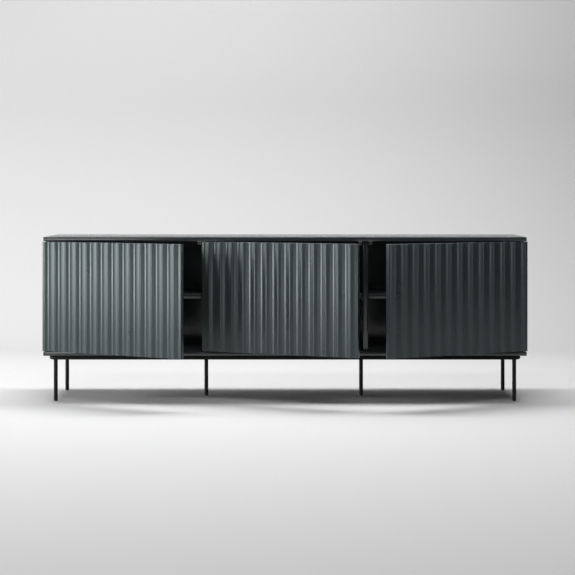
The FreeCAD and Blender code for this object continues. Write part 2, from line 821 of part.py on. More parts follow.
LEGS = {
    "front_left_leg": ("0 - leg_half_span", "0 - rail_half_depth"),
    "front_right_leg": ("leg_half_span", "0 - rail_half_depth"),
    "rear_left_leg": ("0 - leg_half_span", "rail_half_depth"),
    "rear_right_leg": ("leg_half_span", "rail_half_depth"),
    "middle_left_leg": (MIDDLE_LEGS["left"], "0"),
    "middle_right_leg": (MIDDLE_LEGS["right"], "0"),
}


def make_legs():
    """Six tube legs, shaped to the underside of the rails, with a glide in each foot."""
    glides = []
    for node, (x, y) in LEGS.items():
        start = (x, y, "glide_height")
        length = "rail_height - glide_height"
        crossing = [cross_bar("crossing", side, "tube_radius") for side in MIDDLE_LEGS]
        tools = [rod("bore", start, "bore_radius", length)] + ring_bars() + crossing
        keep(less(node + "_tube", rod("bar", start, "tube_radius", length), tools), node)
        foot = rod("foot", (x, y, "0"), "tube_radius", "glide_height")
        plug_length = "glide_height + glide_plug_length"
        plug = rod("plug", (x, y, "0"), "bore_radius - glide_clearance", plug_length)
        glides.append(joined("glide", [foot, plug]))
    keep(group("glide_set", glides), "leg_glides")


def make_pads():
    """Steel pads on the front and rear rails, each with a screw into the bottom panel."""
    pads = []
    for x, end in PAD_SPOTS:
        outer = "(rail_half_depth + pad_overhang)"
        y = f"0 - {outer}" if end < 0 else f"{outer} - pad_width"
        start = (f"{x} - pad_length / 2", y, "stand_height - pad_thickness")
        pads.append(block("pad", start, ("pad_length", "pad_width", "pad_thickness")))
    holes = pad_screw_shanks("pad_hole", "pad_screw_radius + pad_hole_clearance")
    drilled = [less("drilled_pad", pad, [hole]) for pad, hole in zip(pads, holes)]
    keep(group("pad_set", drilled), "mounting_pads")

    screws = []
    head_z = "stand_height - pad_thickness - pad_screw_head_height"
    for shank, (x, end) in zip(pad_screw_shanks("shank", "pad_screw_radius"), PAD_SPOTS):
        head_start = (x, pad_screw_y(end), head_z)
        head = rod("head", head_start, "pad_screw_head_radius", "pad_screw_head_height")
        screws.append(joined("pad_screw", [shank, head]))
    keep(group("pad_screw_set", screws), "mounting_screws")


# ---- the whole sideboard -------------------------------------------------------------------


def check_and_write():
    """Refuses a failed object or an unsound sub-part, then writes each sub-part to its file."""
    for item in doc.Objects:
        if "Invalid" in item.State or "Error" in item.State:
            raise RuntimeError(f"{item.Label} failed: {item.State}")
    for item in nodes:
        if item.Shape.isNull() or not item.Shape.isValid() or not item.Shape.Solids:
            raise RuntimeError(f"{item.Label} is not a sound solid")
    os.makedirs("parts", exist_ok=True)
    for item in nodes:
        item.Shape.exportStep(f"parts/{item.Label}.step")
        print(item.Label, len(item.Shape.Solids), "solids", round(item.Shape.Volume / 1000, 1), "cm3")


make_top_and_bottom()
make_uprights()
make_back()
make_shelves()
for door_name in DOORS:
    make_door(door_name)
    make_strike(door_name)
    make_pivots(door_name)
    make_latch(door_name)
make_bushes()
make_latch_screws()
make_rails()
make_legs()
make_pads()
doc.recompute()
check_and_write()
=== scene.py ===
"""A long sideboard with three fluted doors on a slim tube stand: its pieces, finishes and studio.

Lengths are in metres, in the frame that the CAD model sets: X to the right, Y to the rear and
Z up, with the floor at Z 0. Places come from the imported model's nodes and joints. What the
model doesn't name, such as an edge's easing, is a field of the piece's own class.
"""

import json
import logging
import math
from collections.abc import Callable, Iterator
from contextlib import contextmanager
from dataclasses import dataclass, field
from enum import Enum

import bmesh
import bpy
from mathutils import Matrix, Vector


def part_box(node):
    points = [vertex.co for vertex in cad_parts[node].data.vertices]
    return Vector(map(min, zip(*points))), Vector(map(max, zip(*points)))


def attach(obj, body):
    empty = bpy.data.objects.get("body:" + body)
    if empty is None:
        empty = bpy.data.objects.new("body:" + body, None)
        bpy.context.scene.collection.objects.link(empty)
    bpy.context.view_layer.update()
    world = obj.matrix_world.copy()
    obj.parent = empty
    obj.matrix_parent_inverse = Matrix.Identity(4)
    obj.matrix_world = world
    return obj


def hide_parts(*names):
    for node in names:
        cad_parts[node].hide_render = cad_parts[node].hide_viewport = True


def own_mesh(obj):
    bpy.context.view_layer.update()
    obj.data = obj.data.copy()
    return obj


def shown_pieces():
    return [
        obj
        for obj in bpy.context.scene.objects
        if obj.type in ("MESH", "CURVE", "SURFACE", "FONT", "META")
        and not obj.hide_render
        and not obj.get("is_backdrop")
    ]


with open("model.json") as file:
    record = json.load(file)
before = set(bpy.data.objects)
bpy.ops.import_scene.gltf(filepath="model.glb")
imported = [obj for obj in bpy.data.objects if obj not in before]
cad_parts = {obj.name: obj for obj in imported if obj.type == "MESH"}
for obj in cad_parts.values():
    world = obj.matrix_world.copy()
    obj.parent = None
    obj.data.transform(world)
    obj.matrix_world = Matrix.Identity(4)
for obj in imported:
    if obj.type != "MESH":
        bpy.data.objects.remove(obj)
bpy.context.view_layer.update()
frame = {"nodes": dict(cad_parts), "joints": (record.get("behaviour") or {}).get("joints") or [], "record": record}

log = logging.getLogger("sideboard")
MM = 0.001
SPIN_SIGN = -1  # spin turns the other way round when Blender runs without a window
Colour = tuple[float, float, float]
Piece = bpy.types.Object
Socket = bpy.types.NodeSocket
Sockets = tuple[Socket, Socket]


# ---- the workbench: modelling steps that every class uses ---------------------------------


class Kind(Enum):
    """What an edit-mode selection is made of."""

    VERTS = "VERT"
    EDGES = "EDGE"
    FACES = "FACE"


class Axis(Enum):
    """The direction that a rod or a turned piece runs in, as a rotation from Z."""

    Y = (-math.pi / 2, 0, 0)
    Z = (0, 0, 0)


def drop_selection() -> None:
    """Leaves no object selected."""
    bpy.ops.object.select_all(action="DESELECT")


def take(piece: Piece) -> None:
    """Makes a piece the only selected object, and the active one."""
    drop_selection()
    piece.select_set(True)
    bpy.context.view_layer.objects.active = piece


def settle(name: str) -> Piece:
    """Puts the active object's place into its mesh and names it.

    Args:
        name: The piece's new name.

    Returns:
        The object, now at the origin, unturned and unscaled.
    """
    piece = bpy.context.view_layer.objects.active
    bpy.ops.object.transform_apply(location=True, rotation=True, scale=True)
    piece.name = piece.data.name = name
    return piece


@contextmanager
def editing(piece: Piece, kind: Kind) -> Iterator[None]:
    """Opens a piece in edit mode with nothing selected, and closes it again.

    Args:
        piece: The mesh to edit.
        kind: Whether vertices, edges or faces are picked.

    Yields:
        Nothing: the edit mode is open while the block runs.
    """
    take(piece)
    bpy.ops.object.mode_set(mode="EDIT")
    bpy.ops.mesh.select_mode(type=kind.value)
    bpy.ops.mesh.select_all(action="DESELECT")
    yield
    bpy.ops.object.mode_set(mode="OBJECT")


def middle(item: bmesh.types.BMFace | bmesh.types.BMEdge | bmesh.types.BMVert) -> Vector:
    """The middle of a vertex, an edge or a face."""
    if isinstance(item, bmesh.types.BMVert):
        return item.co
    return sum((vert.co for vert in item.verts), Vector()) / len(item.verts)


def pick(piece: Piece, kind: Kind, wanted: Callable[..., bool]) -> None:
    """Selects, in the open edit mode, what a test says yes to.

    Args:
        piece: The mesh that is being edited.
        kind: What the test is asked about.
        wanted: The test of one vertex, edge or face.
    """
    bpy.ops.mesh.select_all(action="DESELECT")
    shape = bmesh.from_edit_mesh(piece.data)
    for item in {Kind.VERTS: shape.verts, Kind.EDGES: shape.edges, Kind.FACES: shape.faces}[kind]:
        if wanted(item):
            item.select_set(True)
    shape.select_flush_mode()
    bmesh.update_edit_mesh(piece.data)


def pick_all() -> None:
    """Selects everything in the open edit mode."""
    bpy.ops.mesh.select_all(action="SELECT")


def extrude(move: tuple[float, float, float]) -> None:
    """Extrudes the selection of the open edit mode by a move."""
    bpy.ops.mesh.extrude_region_move(TRANSFORM_OT_translate={"value": move})


def cut(point: tuple[float, float, float], normal: tuple[float, float, float], drop: bool = False) -> None:
    """Bisects the piece in edit mode by a plane."""
    pick_all()
    bpy.ops.mesh.bisect(plane_co=point, plane_no=normal, clear_outer=drop)


def refine(piece: Piece, kind: str, **settings: object) -> None:
    """Adds one modifier to a piece and applies it.

    Args:
        piece: The mesh to change.
        kind: The modifier's type.
        settings: The modifier's own settings.
    """
    take(piece)
    modifier = piece.modifiers.new(kind.lower(), kind)
    for name, value in settings.items():
        setattr(modifier, name, value)
    bpy.ops.object.modifier_apply(modifier=modifier.name)


def smooth(piece: Piece, angle: float) -> None:
    """Shades a piece smooth across edges that turn by less than an angle in degrees."""
    take(piece)
    bpy.ops.object.shade_smooth_by_angle(angle=math.radians(angle))


def ease(piece: Piece, width: float, segments: int = 2, angle: float = 50) -> None:
    """Rounds a piece's sharp edges, then shades it smooth across the soft ones.

    Args:
        piece: The mesh to round.
        width: The width of each rounded edge.
        segments: How many faces go round it.
        angle: The angle, in degrees, from which an edge counts as sharp.
    """
    limit = math.radians(angle)
    refine(piece, "BEVEL", width=width, segments=segments, limit_method="ANGLE", angle_limit=limit)
    smooth(piece, 40)


def close_up(piece: Piece) -> None:
    """Merges a piece's doubled points and turns all its faces outwards."""
    with editing(piece, Kind.VERTS):
        pick_all()
        bpy.ops.mesh.remove_doubles(threshold=5e-6)
        bpy.ops.mesh.normals_make_consistent(inside=False)


def new_box(name: str, low: Vector, high: Vector) -> Piece:
    """A box primitive between two corners.

    Args:
        name: The piece's name.
        low: Its lowest corner.
        high: Its highest corner.

    Returns:
        The new mesh object.
    """
    low, high = Vector(low), Vector(high)
    drop_selection()
    bpy.ops.mesh.primitive_cube_add(size=1, location=(low + high) / 2, scale=high - low)
    return settle(name)


def new_sheet(name: str, centre: Vector, width: float, length: float, upright: bool = False) -> Piece:
    """A flat rectangle primitive, lying level or standing to face the front.

    Args:
        name: The piece's name.
        centre: Its middle.
        width: Its size along X.
        length: Its size along Y, or along Z if it stands.
        upright: Whether it stands.

    Returns:
        The new mesh object.
    """
    drop_selection()
    turn = math.pi / 2 if upright else 0
    bpy.ops.mesh.primitive_plane_add(size=1, rotation=(turn, 0, 0), location=centre)
    bpy.ops.transform.resize(value=(width, 1, length) if upright else (width, length, 1))
    return settle(name)


def new_rod(
    name: str, start: Vector, radius: float, length: float, along: Axis = Axis.Z, sides: int = 32
) -> Piece:
    """A cylinder primitive that starts at a point and runs along an axis.

    Args:
        name: The piece's name.
        start: The middle of its first end.
        radius: Its radius.
        length: Its length.
        along: The axis it runs along.
        sides: How many flats go round it.

    Returns:
        The new mesh object.
    """
    step = Vector((0, 1, 0)) if along is Axis.Y else Vector((0, 0, 1))
    drop_selection()
    bpy.ops.mesh.primitive_cylinder_add(
        vertices=sides, radius=radius, depth=length, rotation=along.value,
        location=Vector(start) + step * length / 2,
    )
    return settle(name)


def turned(
    name: str, foot: Vector, rings: list[tuple[float, float]], sides: int = 32
) -> Piece:
    """A round piece raised ring by ring, as on a lathe.

    Args:
        name: The piece's name.
        foot: The point on its axis that heights are measured from.
        rings: Each ring's radius and height, from the first end to the last.
        sides: How many flats go round it.

    Returns:
        The new closed mesh, standing along Z.
    """
    foot = Vector(foot)
    radius, height = rings[0]
    drop_selection()
    bpy.ops.mesh.primitive_circle_add(
        vertices=sides, radius=radius, fill_type="NGON", location=foot + Vector((0, 0, height))
    )
    piece = settle(name)
    with editing(piece, Kind.FACES):
        pick_all()
        for next_radius, next_height in rings[1:]:
            extrude((0, 0, next_height - height))
            share = next_radius / radius
            centre = foot + Vector((0, 0, next_height))
            bpy.ops.transform.resize(value=(share, share, 1), center_override=centre)
            radius, height = next_radius, next_height
    close_up(piece)
    return piece


def copied(piece: Piece, move: Vector) -> Piece:
    """A copy of a piece, with a mesh of its own, moved into place.

    Args:
        piece: The piece that is modelled once.
        move: How far the copy stands from it.

    Returns:
        The copy, with its place in its mesh.
    """
    take(piece)
    bpy.ops.object.duplicate(linked=False)
    bpy.ops.transform.translate(value=Vector(move))
    return settle(piece.name + "_copy")


def rolled(piece: Piece, turn: float, axis: str, centre: Vector) -> Piece:
    """Turns a piece about a point, by the right-hand rule.

    Args:
        piece: The piece to turn.
        turn: The angle in radians.
        axis: X, Y or Z.
        centre: A point of the axis.

    Returns:
        The same piece, with its new place in its mesh.
    """
    with editing(piece, Kind.VERTS):
        pick_all()
        bpy.ops.transform.rotate(value=-turn, orient_axis=axis, center_override=Vector(centre))
    return piece


def united(name: str, pieces: list[Piece]) -> Piece:
    """Joins several meshes into one.

    Args:
        name: The joined piece's name.
        pieces: The meshes, which the first one takes in.

    Returns:
        The joined mesh object.
    """
    take(pieces[0])
    for piece in pieces:
        piece.select_set(True)
    bpy.ops.object.join()
    pieces[0].name = pieces[0].data.name = name
    return pieces[0]


def bored(piece: Piece, tool: Piece) -> Piece:
    """Cuts a tool's shape out of a piece and throws the tool away.

    Args:
        piece: The mesh to cut.
        tool: The mesh that is taken out of it.

    Returns:
        The cut piece.
    """
    refine(piece, "BOOLEAN", object=tool, operation="DIFFERENCE", solver="EXACT")
    bpy.data.objects.remove(tool)
    return piece


# ---- effects that several finishes share ---------------------------------------------------


class Sketch:
    """A node tree under construction, with short words for adding and joining nodes."""

    def __init__(self, tree: bpy.types.NodeTree) -> None:
        """Starts on a node tree."""
        self.tree = tree

    def node(self, kind: str, **settings: object) -> bpy.types.Node:
        """Adds a node.

        Args:
            kind: The node's type.
            settings: Its own properties.

        Returns:
            The new node.
        """
        made = self.tree.nodes.new(kind)
        for name, value in settings.items():
            setattr(made, name, value)
        return made

    def feed(self, socket: Socket, source: object) -> None:
        """Links a socket to another, or sets its value.

        Args:
            socket: The input to feed.
            source: An output socket, or a plain value.
        """
        if isinstance(source, Socket):
            self.tree.links.new(source, socket)
        else:
            socket.default_value = source

    def maths(self, operation: str, first: object, second: object = 0.0, clamp: bool = False) -> Socket:
        """A Math node's result.

        Args:
            operation: The node's operation.
            first: Its first value or socket.
            second: Its second value or socket.
            clamp: Whether the result is kept from 0 to 1.

        Returns:
            The output socket.
        """
        made = self.node("ShaderNodeMath", operation=operation, use_clamp=clamp)
        self.feed(made.inputs[0], first)
        self.feed(made.inputs[1], second)
        return made.outputs[0]

    def spread(self, value: object, low: float, high: float, to_low: float, to_high: float) -> Socket:
        """A value carried from one range to another, smoothly.

        Args:
            value: The value or socket.
            low: The range's start.
            high: The range's end.
            to_low: What the start becomes.
            to_high: What the end becomes.

        Returns:
            The output socket.
        """
        made = self.node("ShaderNodeMapRange", interpolation_type="SMOOTHSTEP")
        for socket, number in zip(list(made.inputs)[:5], (value, low, high, to_low, to_high)):
            self.feed(socket, number)
        return made.outputs[0]

    def noise(
        self, place: Socket, scale: object, detail: float = 3.0, rough: float = 0.55
    ) -> Socket:
        """The value of a Noise texture.

        Args:
            place: Where it is read.
            scale: How fine it is, a number or a socket.
            detail: How many octaves it has.
            rough: How strong the finer octaves are.

        Returns:
            The output socket.
        """
        made = self.node("ShaderNodeTexNoise")
        self.feed(made.inputs["Vector"], place)
        self.feed(made.inputs["Scale"], scale)
        made.inputs["Detail"].default_value = detail
        made.inputs["Roughness"].default_value = rough
        return made.outputs[0]

    def blend(self, share: object, first: object, second: object) -> Socket:
        """Two colours mixed.

        Args:
            share: How much of the second colour shows.
            first: The first colour or socket.
            second: The second colour or socket.

        Returns:
            The output socket.
        """
        made = self.node("ShaderNodeMix", data_type="RGBA")
        self.feed(made.inputs[0], share)
        for socket, colour in ((made.inputs[6], first), (made.inputs[7], second)):
            self.feed(socket, (*colour, 1.0) if isinstance(colour, tuple) else colour)
        return made.outputs[2]


class Effects:
    """The node groups that the finishes share, each built once."""

    def __init__(self) -> None:
        """Builds every shared group."""
        self.wear = self._edge_wear()
        self.dust = self._settled_dust()
        self.peel = self._spray_texture()
        self.brush = self._brushed_lines()
        self.touch = self._handling_marks()

    @staticmethod
    def _open(
        name: str, inputs: dict[str, float | None], outputs: tuple[str, ...]
    ) -> tuple[Sketch, bpy.types.Node, bpy.types.Node]:
        """Starts a group with its sockets.

        Args:
            name: The group's name.
            inputs: Each input's name and starting value, or None for a place.
            outputs: The names of the values that it puts out.

        Returns:
            The sketch, and the group's input and output nodes.
        """
        tree = bpy.data.node_groups.new(name, "ShaderNodeTree")
        for socket, value in inputs.items():
            kind = "NodeSocketVector" if value is None else "NodeSocketFloat"
            made = tree.interface.new_socket(socket, in_out="INPUT", socket_type=kind)
            if value is not None:
                made.default_value = value
        for socket in outputs:
            tree.interface.new_socket(socket, in_out="OUTPUT", socket_type="NodeSocketFloat")
        sketch = Sketch(tree)
        return sketch, sketch.node("NodeGroupInput"), sketch.node("NodeGroupOutput")

    def _edge_wear(self) -> bpy.types.NodeTree:
        """Where an edge is rubbed: the eased normal leaves the true one there.

        Returns:
            The node group.
        """
        inputs = {"Place": None, "Width": 0.0015, "Patches": 35.0}
        sketch, start, end = self._open("edge_wear", inputs, ("Mask",))
        eased = sketch.node("ShaderNodeBevel", samples=4)
        sketch.feed(eased.inputs["Radius"], start.outputs["Width"])
        true = sketch.node("ShaderNodeNewGeometry")
        likeness = sketch.node("ShaderNodeVectorMath", operation="DOT_PRODUCT")
        sketch.feed(likeness.inputs[0], eased.outputs[0])
        sketch.feed(likeness.inputs[1], true.outputs["Normal"])
        edge = sketch.spread(likeness.outputs["Value"], 0.97, 0.80, 0.0, 1.0)
        patches = sketch.noise(start.outputs["Place"], start.outputs["Patches"], 4.0, 0.7)
        sketch.feed(end.inputs["Mask"], sketch.maths("MULTIPLY", edge, sketch.spread(patches, 0.38, 0.62, 0.1, 1.0)))
        return sketch.tree

    def _settled_dust(self) -> bpy.types.NodeTree:
        """A thin film that settles on what faces up, thicker in soft patches.

        Returns:
            The node group.
        """
        sketch, start, end = self._open("settled_dust", {"Place": None, "Amount": 0.3}, ("Mask",))
        true = sketch.node("ShaderNodeNewGeometry")
        parts = sketch.node("ShaderNodeSeparateXYZ")
        sketch.feed(parts.inputs[0], true.outputs["Normal"])
        level = sketch.spread(parts.outputs["Z"], 0.55, 1.0, 0.0, 1.0)
        cloud = sketch.spread(sketch.noise(start.outputs["Place"], 6.0, 5.0, 0.65), 0.35, 0.7, 0.25, 1.0)
        speck = sketch.spread(sketch.noise(start.outputs["Place"], 900.0, 1.0), 0.55, 0.75, 0.6, 1.0)
        film = sketch.maths("MULTIPLY", sketch.maths("MULTIPLY", level, cloud), speck)
        sketch.feed(end.inputs["Mask"], sketch.maths("MULTIPLY", film, start.outputs["Amount"], clamp=True))
        return sketch.tree

    def _spray_texture(self) -> bpy.types.NodeTree:
        """The gentle orange peel and fine tooth of a sprayed coat.

        Returns:
            The node group.
        """
        inputs = {"Place": None, "Scale": 260.0, "Tooth": 0.35}
        sketch, start, end = self._open("spray_texture", inputs, ("Height", "Tone"))
        peel = sketch.noise(start.outputs["Place"], start.outputs["Scale"], 1.5, 0.4)
        tooth = sketch.noise(start.outputs["Place"], sketch.maths("MULTIPLY", start.outputs["Scale"], 7.0), 2.0)
        fine = sketch.maths("MULTIPLY", tooth, start.outputs["Tooth"])
        sketch.feed(end.inputs["Height"], sketch.maths("ADD", peel, fine))
        sketch.feed(end.inputs["Tone"], sketch.noise(start.outputs["Place"], 11.0, 4.0, 0.6))
        return sketch.tree

    def _brushed_lines(self) -> bpy.types.NodeTree:
        """Fine lines along one direction: tool marks, drawing lines or wood fibres.

        Returns:
            The node group.
        """
        sketch, start, end = self._open("brushed_lines", {"Place": None, "Scale": 900.0}, ("Height", "Tone"))
        lines = sketch.noise(start.outputs["Place"], start.outputs["Scale"], 3.0, 0.7)
        sketch.feed(end.inputs["Height"], lines)
        slow = sketch.noise(start.outputs["Place"], sketch.maths("MULTIPLY", start.outputs["Scale"], 0.08), 3.0)
        shares = sketch.maths("MULTIPLY", lines, 0.6), sketch.maths("MULTIPLY", slow, 0.4)
        sketch.feed(end.inputs["Tone"], sketch.maths("ADD", *shares))
        return sketch.tree

    def _handling_marks(self) -> bpy.types.NodeTree:
        """Faint wiped patches where hands and cloths have dulled or polished the coat.

        Returns:
            The node group.
        """
        sketch, start, end = self._open("handling_marks", {"Place": None, "Scale": 9.0}, ("Mask",))
        cloud = sketch.noise(start.outputs["Place"], start.outputs["Scale"], 5.0, 0.62)
        sweep = sketch.noise(start.outputs["Place"], sketch.maths("MULTIPLY", start.outputs["Scale"], 5.5), 2.0)
        broad, fine = sketch.spread(cloud, 0.42, 0.68, 0.0, 1.0), sketch.spread(sweep, 0.3, 0.7, 0.4, 1.0)
        both = sketch.maths("MULTIPLY", broad, fine)
        sketch.feed(end.inputs["Mask"], both)
        return sketch.tree


# ---- finishes ------------------------------------------------------------------------------


@dataclass(frozen=True)
class Finish:
    """What every finish has: a colour that drifts a little, wear on its edges, dust and marks."""

    slot: str
    colour: Colour
    worn: Colour
    rough: float
    drift: float = 0.12
    rough_drift: float = 0.08
    wear: float = 0.35
    wear_width: float = 0.0012
    dust: float = 0.12
    relief: float = 0.00002
    relief_share: float = 0.5
    metallic: float = 0.0
    shine: float = 0.5
    drawn_out: float = 0.0
    tint: Colour = (1.0, 1.0, 1.0)
    stretch: Colour = (1.0, 1.0, 1.0)

    def surface(self, sketch: Sketch, effects: Effects, place: Socket) -> Sockets:
        """The finish's own texture."""
        raise NotImplementedError

    def use(
        self, sketch: Sketch, group: bpy.types.NodeTree, place: Socket, **values: float
    ) -> bpy.types.Node:
        """Places a shared group in the material with this finish's own values.

        Args:
            sketch: The material's tree.
            group: The shared group.
            place: Where it is read.
            values: Its other inputs.

        Returns:
            The group's node.
        """
        made = sketch.node("ShaderNodeGroup", node_tree=group)
        sketch.feed(made.inputs["Place"], place)
        for name, value in values.items():
            sketch.feed(made.inputs[name.title()], value)
        return made

    def made(self, effects: Effects) -> bpy.types.Material:
        """Builds the material.

        Args:
            effects: The shared groups.

        Returns:
            The material, named after its slot.
        """
        material = bpy.data.materials.new(self.slot)
        material.use_nodes = True
        sketch = Sketch(material.node_tree)
        shader = material.node_tree.nodes["Principled BSDF"]
        where = sketch.node("ShaderNodeTexCoord")
        mapping = sketch.node("ShaderNodeMapping")
        sketch.feed(mapping.inputs["Vector"], where.outputs["Object"])
        mapping.inputs["Scale"].default_value = self.stretch
        place = mapping.outputs[0]
        height, tone = self.surface(sketch, effects, place)

        plain = where.outputs["Object"]
        wear = self.use(sketch, effects.wear, plain, width=self.wear_width).outputs["Mask"]
        wear = sketch.maths("MULTIPLY", wear, self.wear)
        dust = self.use(sketch, effects.dust, plain, amount=self.dust).outputs["Mask"]
        marks = self.use(sketch, effects.touch, plain).outputs["Mask"]

        darker = tuple(channel * (1 - self.drift) for channel in self.colour)
        lighter = tuple(channel * (1 + self.drift) for channel in self.colour)
        colour = sketch.blend(sketch.spread(tone, 0.3, 0.7, 0.0, 1.0), darker, lighter)
        colour = sketch.blend(wear, colour, self.worn)
        colour = sketch.blend(dust, colour, (0.55, 0.54, 0.52))
        sketch.feed(shader.inputs["Base Color"], colour)

        rough = sketch.spread(tone, 0.25, 0.75, self.rough - self.rough_drift, self.rough + self.rough_drift)
        rough = sketch.maths("ADD", rough, sketch.maths("MULTIPLY", marks, self.rough_drift))
        rough = sketch.maths("ADD", rough, sketch.maths("MULTIPLY", dust, 0.3), clamp=True)
        sketch.feed(shader.inputs["Roughness"], rough)

        bump = sketch.node("ShaderNodeBump")
        bump.inputs["Strength"].default_value = self.relief_share
        bump.inputs["Distance"].default_value = self.relief
        sketch.feed(bump.inputs["Height"], height)
        sketch.feed(shader.inputs["Normal"], bump.outputs[0])
        shader.inputs["Metallic"].default_value = self.metallic
        shader.inputs["Specular IOR Level"].default_value = self.shine
        shader.inputs["Specular Tint"].default_value = (*self.tint, 1.0)
        if self.drawn_out:
            upright = sketch.node("ShaderNodeCombineXYZ")
            upright.inputs["Z"].default_value = 1.0
            sketch.feed(shader.inputs["Tangent"], upright.outputs[0])
            shader.inputs["Anisotropic"].default_value = self.drawn_out
        log.info("finish %s", self.slot)
        return material


@dataclass(frozen=True)
class Sprayed(Finish):
    """A sprayed coat: lacquer on board, or powder on steel."""

    peel: float = 260.0
    tooth: float = 0.35

    def surface(self, sketch: Sketch, effects: Effects, place: Socket) -> Sockets:
        """Orange peel and tooth."""
        texture = self.use(sketch, effects.peel, place, scale=self.peel, tooth=self.tooth)
        return texture.outputs["Height"], texture.outputs["Tone"]


@dataclass(frozen=True)
class Drawn(Finish):
    """A finish with lines along one way: turned or drawn metal, or timber."""

    lines: float = 900.0

    def surface(self, sketch: Sketch, effects: Effects, place: Socket) -> Sockets:
        """Lines along the direction that the stretch leaves long."""
        texture = self.use(sketch, effects.brush, place, scale=self.lines)
        return texture.outputs["Height"], texture.outputs["Tone"]


@dataclass(frozen=True)
class Moulded(Finish):
    """Moulded plastic: a fine spark-eroded texture with soft flow patches."""

    grain: float = 1400.0

    def surface(self, sketch: Sketch, effects: Effects, place: Socket) -> Sockets:
        """A cell-like grain over slow patches.

        Args:
            sketch: The material's tree.
            effects: The shared groups.
            place: Where the texture is read.

        Returns:
            The sockets of its height and of its tone.
        """
        cells = sketch.node("ShaderNodeTexVoronoi")
        sketch.feed(cells.inputs["Vector"], place)
        cells.inputs["Scale"].default_value = self.grain
        return cells.outputs["Distance"], sketch.noise(place, 60.0, 4.0)


def finishes() -> list[Finish]:
    """Every finish of the sideboard, one for each material slot.

    Returns:
        The finishes.
    """
    return [
        Sprayed("door_lacquer", (0.034, 0.043, 0.0465), (0.12, 0.13, 0.135), 0.29, rough_drift=0.02,
                drawn_out=0.85, tint=(0.86, 1.0, 1.0), drift=0.07, wear=0.20, dust=0.03, relief=0.000012, peel=300.0),
        Sprayed("carcass_lacquer", (0.033, 0.038, 0.041), (0.10, 0.105, 0.11), 0.16, rough_drift=0.03, shine=0.65,
                wear=0.30, dust=0.05, relief=0.000012, peel=300.0),
        Sprayed("stand_powder_coat", (0.004, 0.004, 0.0045), (0.05, 0.05, 0.05), 0.58, shine=0.2,
                wear=0.30, dust=0.08, relief=0.00004, peel=900.0, tooth=0.6),
        Drawn("zinc_steel", (0.52, 0.54, 0.56), (0.72, 0.73, 0.74), 0.34, metallic=1.0,
              relief=0.00001, stretch=(1.0, 1.0, 0.06)),
        Drawn("pivot_steel", (0.42, 0.42, 0.43), (0.66, 0.66, 0.66), 0.28, metallic=1.0,
              relief=0.00001, stretch=(0.08, 0.08, 1.0)),
        Sprayed("nickel_casting", (0.50, 0.48, 0.45), (0.72, 0.70, 0.66), 0.33, metallic=1.0,
                relief=0.00003, peel=1200.0),
        Moulded("black_nylon", (0.020, 0.020, 0.021), (0.07, 0.07, 0.07), 0.46, relief=0.00003),
        Drawn("spring_steel", (0.45, 0.45, 0.46), (0.65, 0.65, 0.65), 0.25, metallic=1.0,
              relief=0.000006, stretch=(1.0, 0.1, 1.0)),
        Drawn("beech", (0.55, 0.36, 0.20), (0.66, 0.48, 0.30), 0.62, drift=0.22, relief=0.00005,
              stretch=(1.0, 1.0, 0.05), lines=700.0),
        Drawn("black_screw", (0.030, 0.030, 0.032), (0.30, 0.30, 0.30), 0.38, metallic=0.9,
              relief=0.00001, stretch=(1.0, 0.1, 1.0)),
        Drawn("brass_bush", (0.62, 0.44, 0.20), (0.80, 0.64, 0.36), 0.32, metallic=1.0,
              relief=0.00001, stretch=(0.08, 0.08, 1.0)),
        Moulded("glide_plastic", (0.028, 0.028, 0.029), (0.10, 0.10, 0.10), 0.55, relief=0.00005,
                grain=1000.0),
    ]


class Stores:
    """Hands every piece its finish and its body."""

    def __init__(self) -> None:
        """Builds the finishes and reads which body and slot each CAD node has."""
        effects = Effects()
        self.materials = {finish.slot: finish.made(effects) for finish in finishes()}
        record = frame["record"]
        self.body_of = {
            node: body for body, nodes in record["behaviour"]["bodies"].items() for node in nodes
        }
        self.slot_of = {part["node"]: part["material_slot"] for part in record["subparts"]}
        self.count = 0

    def paint(self, piece: Piece, slot: str) -> None:
        """Gives a piece the material of a slot, and nothing else."""
        piece.data.materials.clear()
        piece.data.materials.append(self.materials[slot])

    def place(self, piece: Piece, *nodes: str) -> Piece:
        """Finishes a new piece that stands for CAD nodes of one body.

        Args:
            piece: The finished mesh.
            nodes: The CAD nodes that it replaces.

        Returns:
            The piece, riding on its body.
        """
        body, slot = self.body_of[nodes[0]], self.slot_of[nodes[0]]
        self.paint(piece, slot)
        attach(piece, body)
        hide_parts(*nodes)
        self.count += 1
        log.info("%s rides on %s in %s, %d faces", piece.name, body, slot, len(piece.data.polygons))
        return piece

    def dress_the_rest(self) -> None:
        """Paints every CAD node that is still shown."""
        for name, node in frame["nodes"].items():
            self.paint(node, self.slot_of[name])
            if not node.hide_render:
                log.info("%s is the CAD's own", name)


# ---- carcass -------------------------------------------------------------------------------


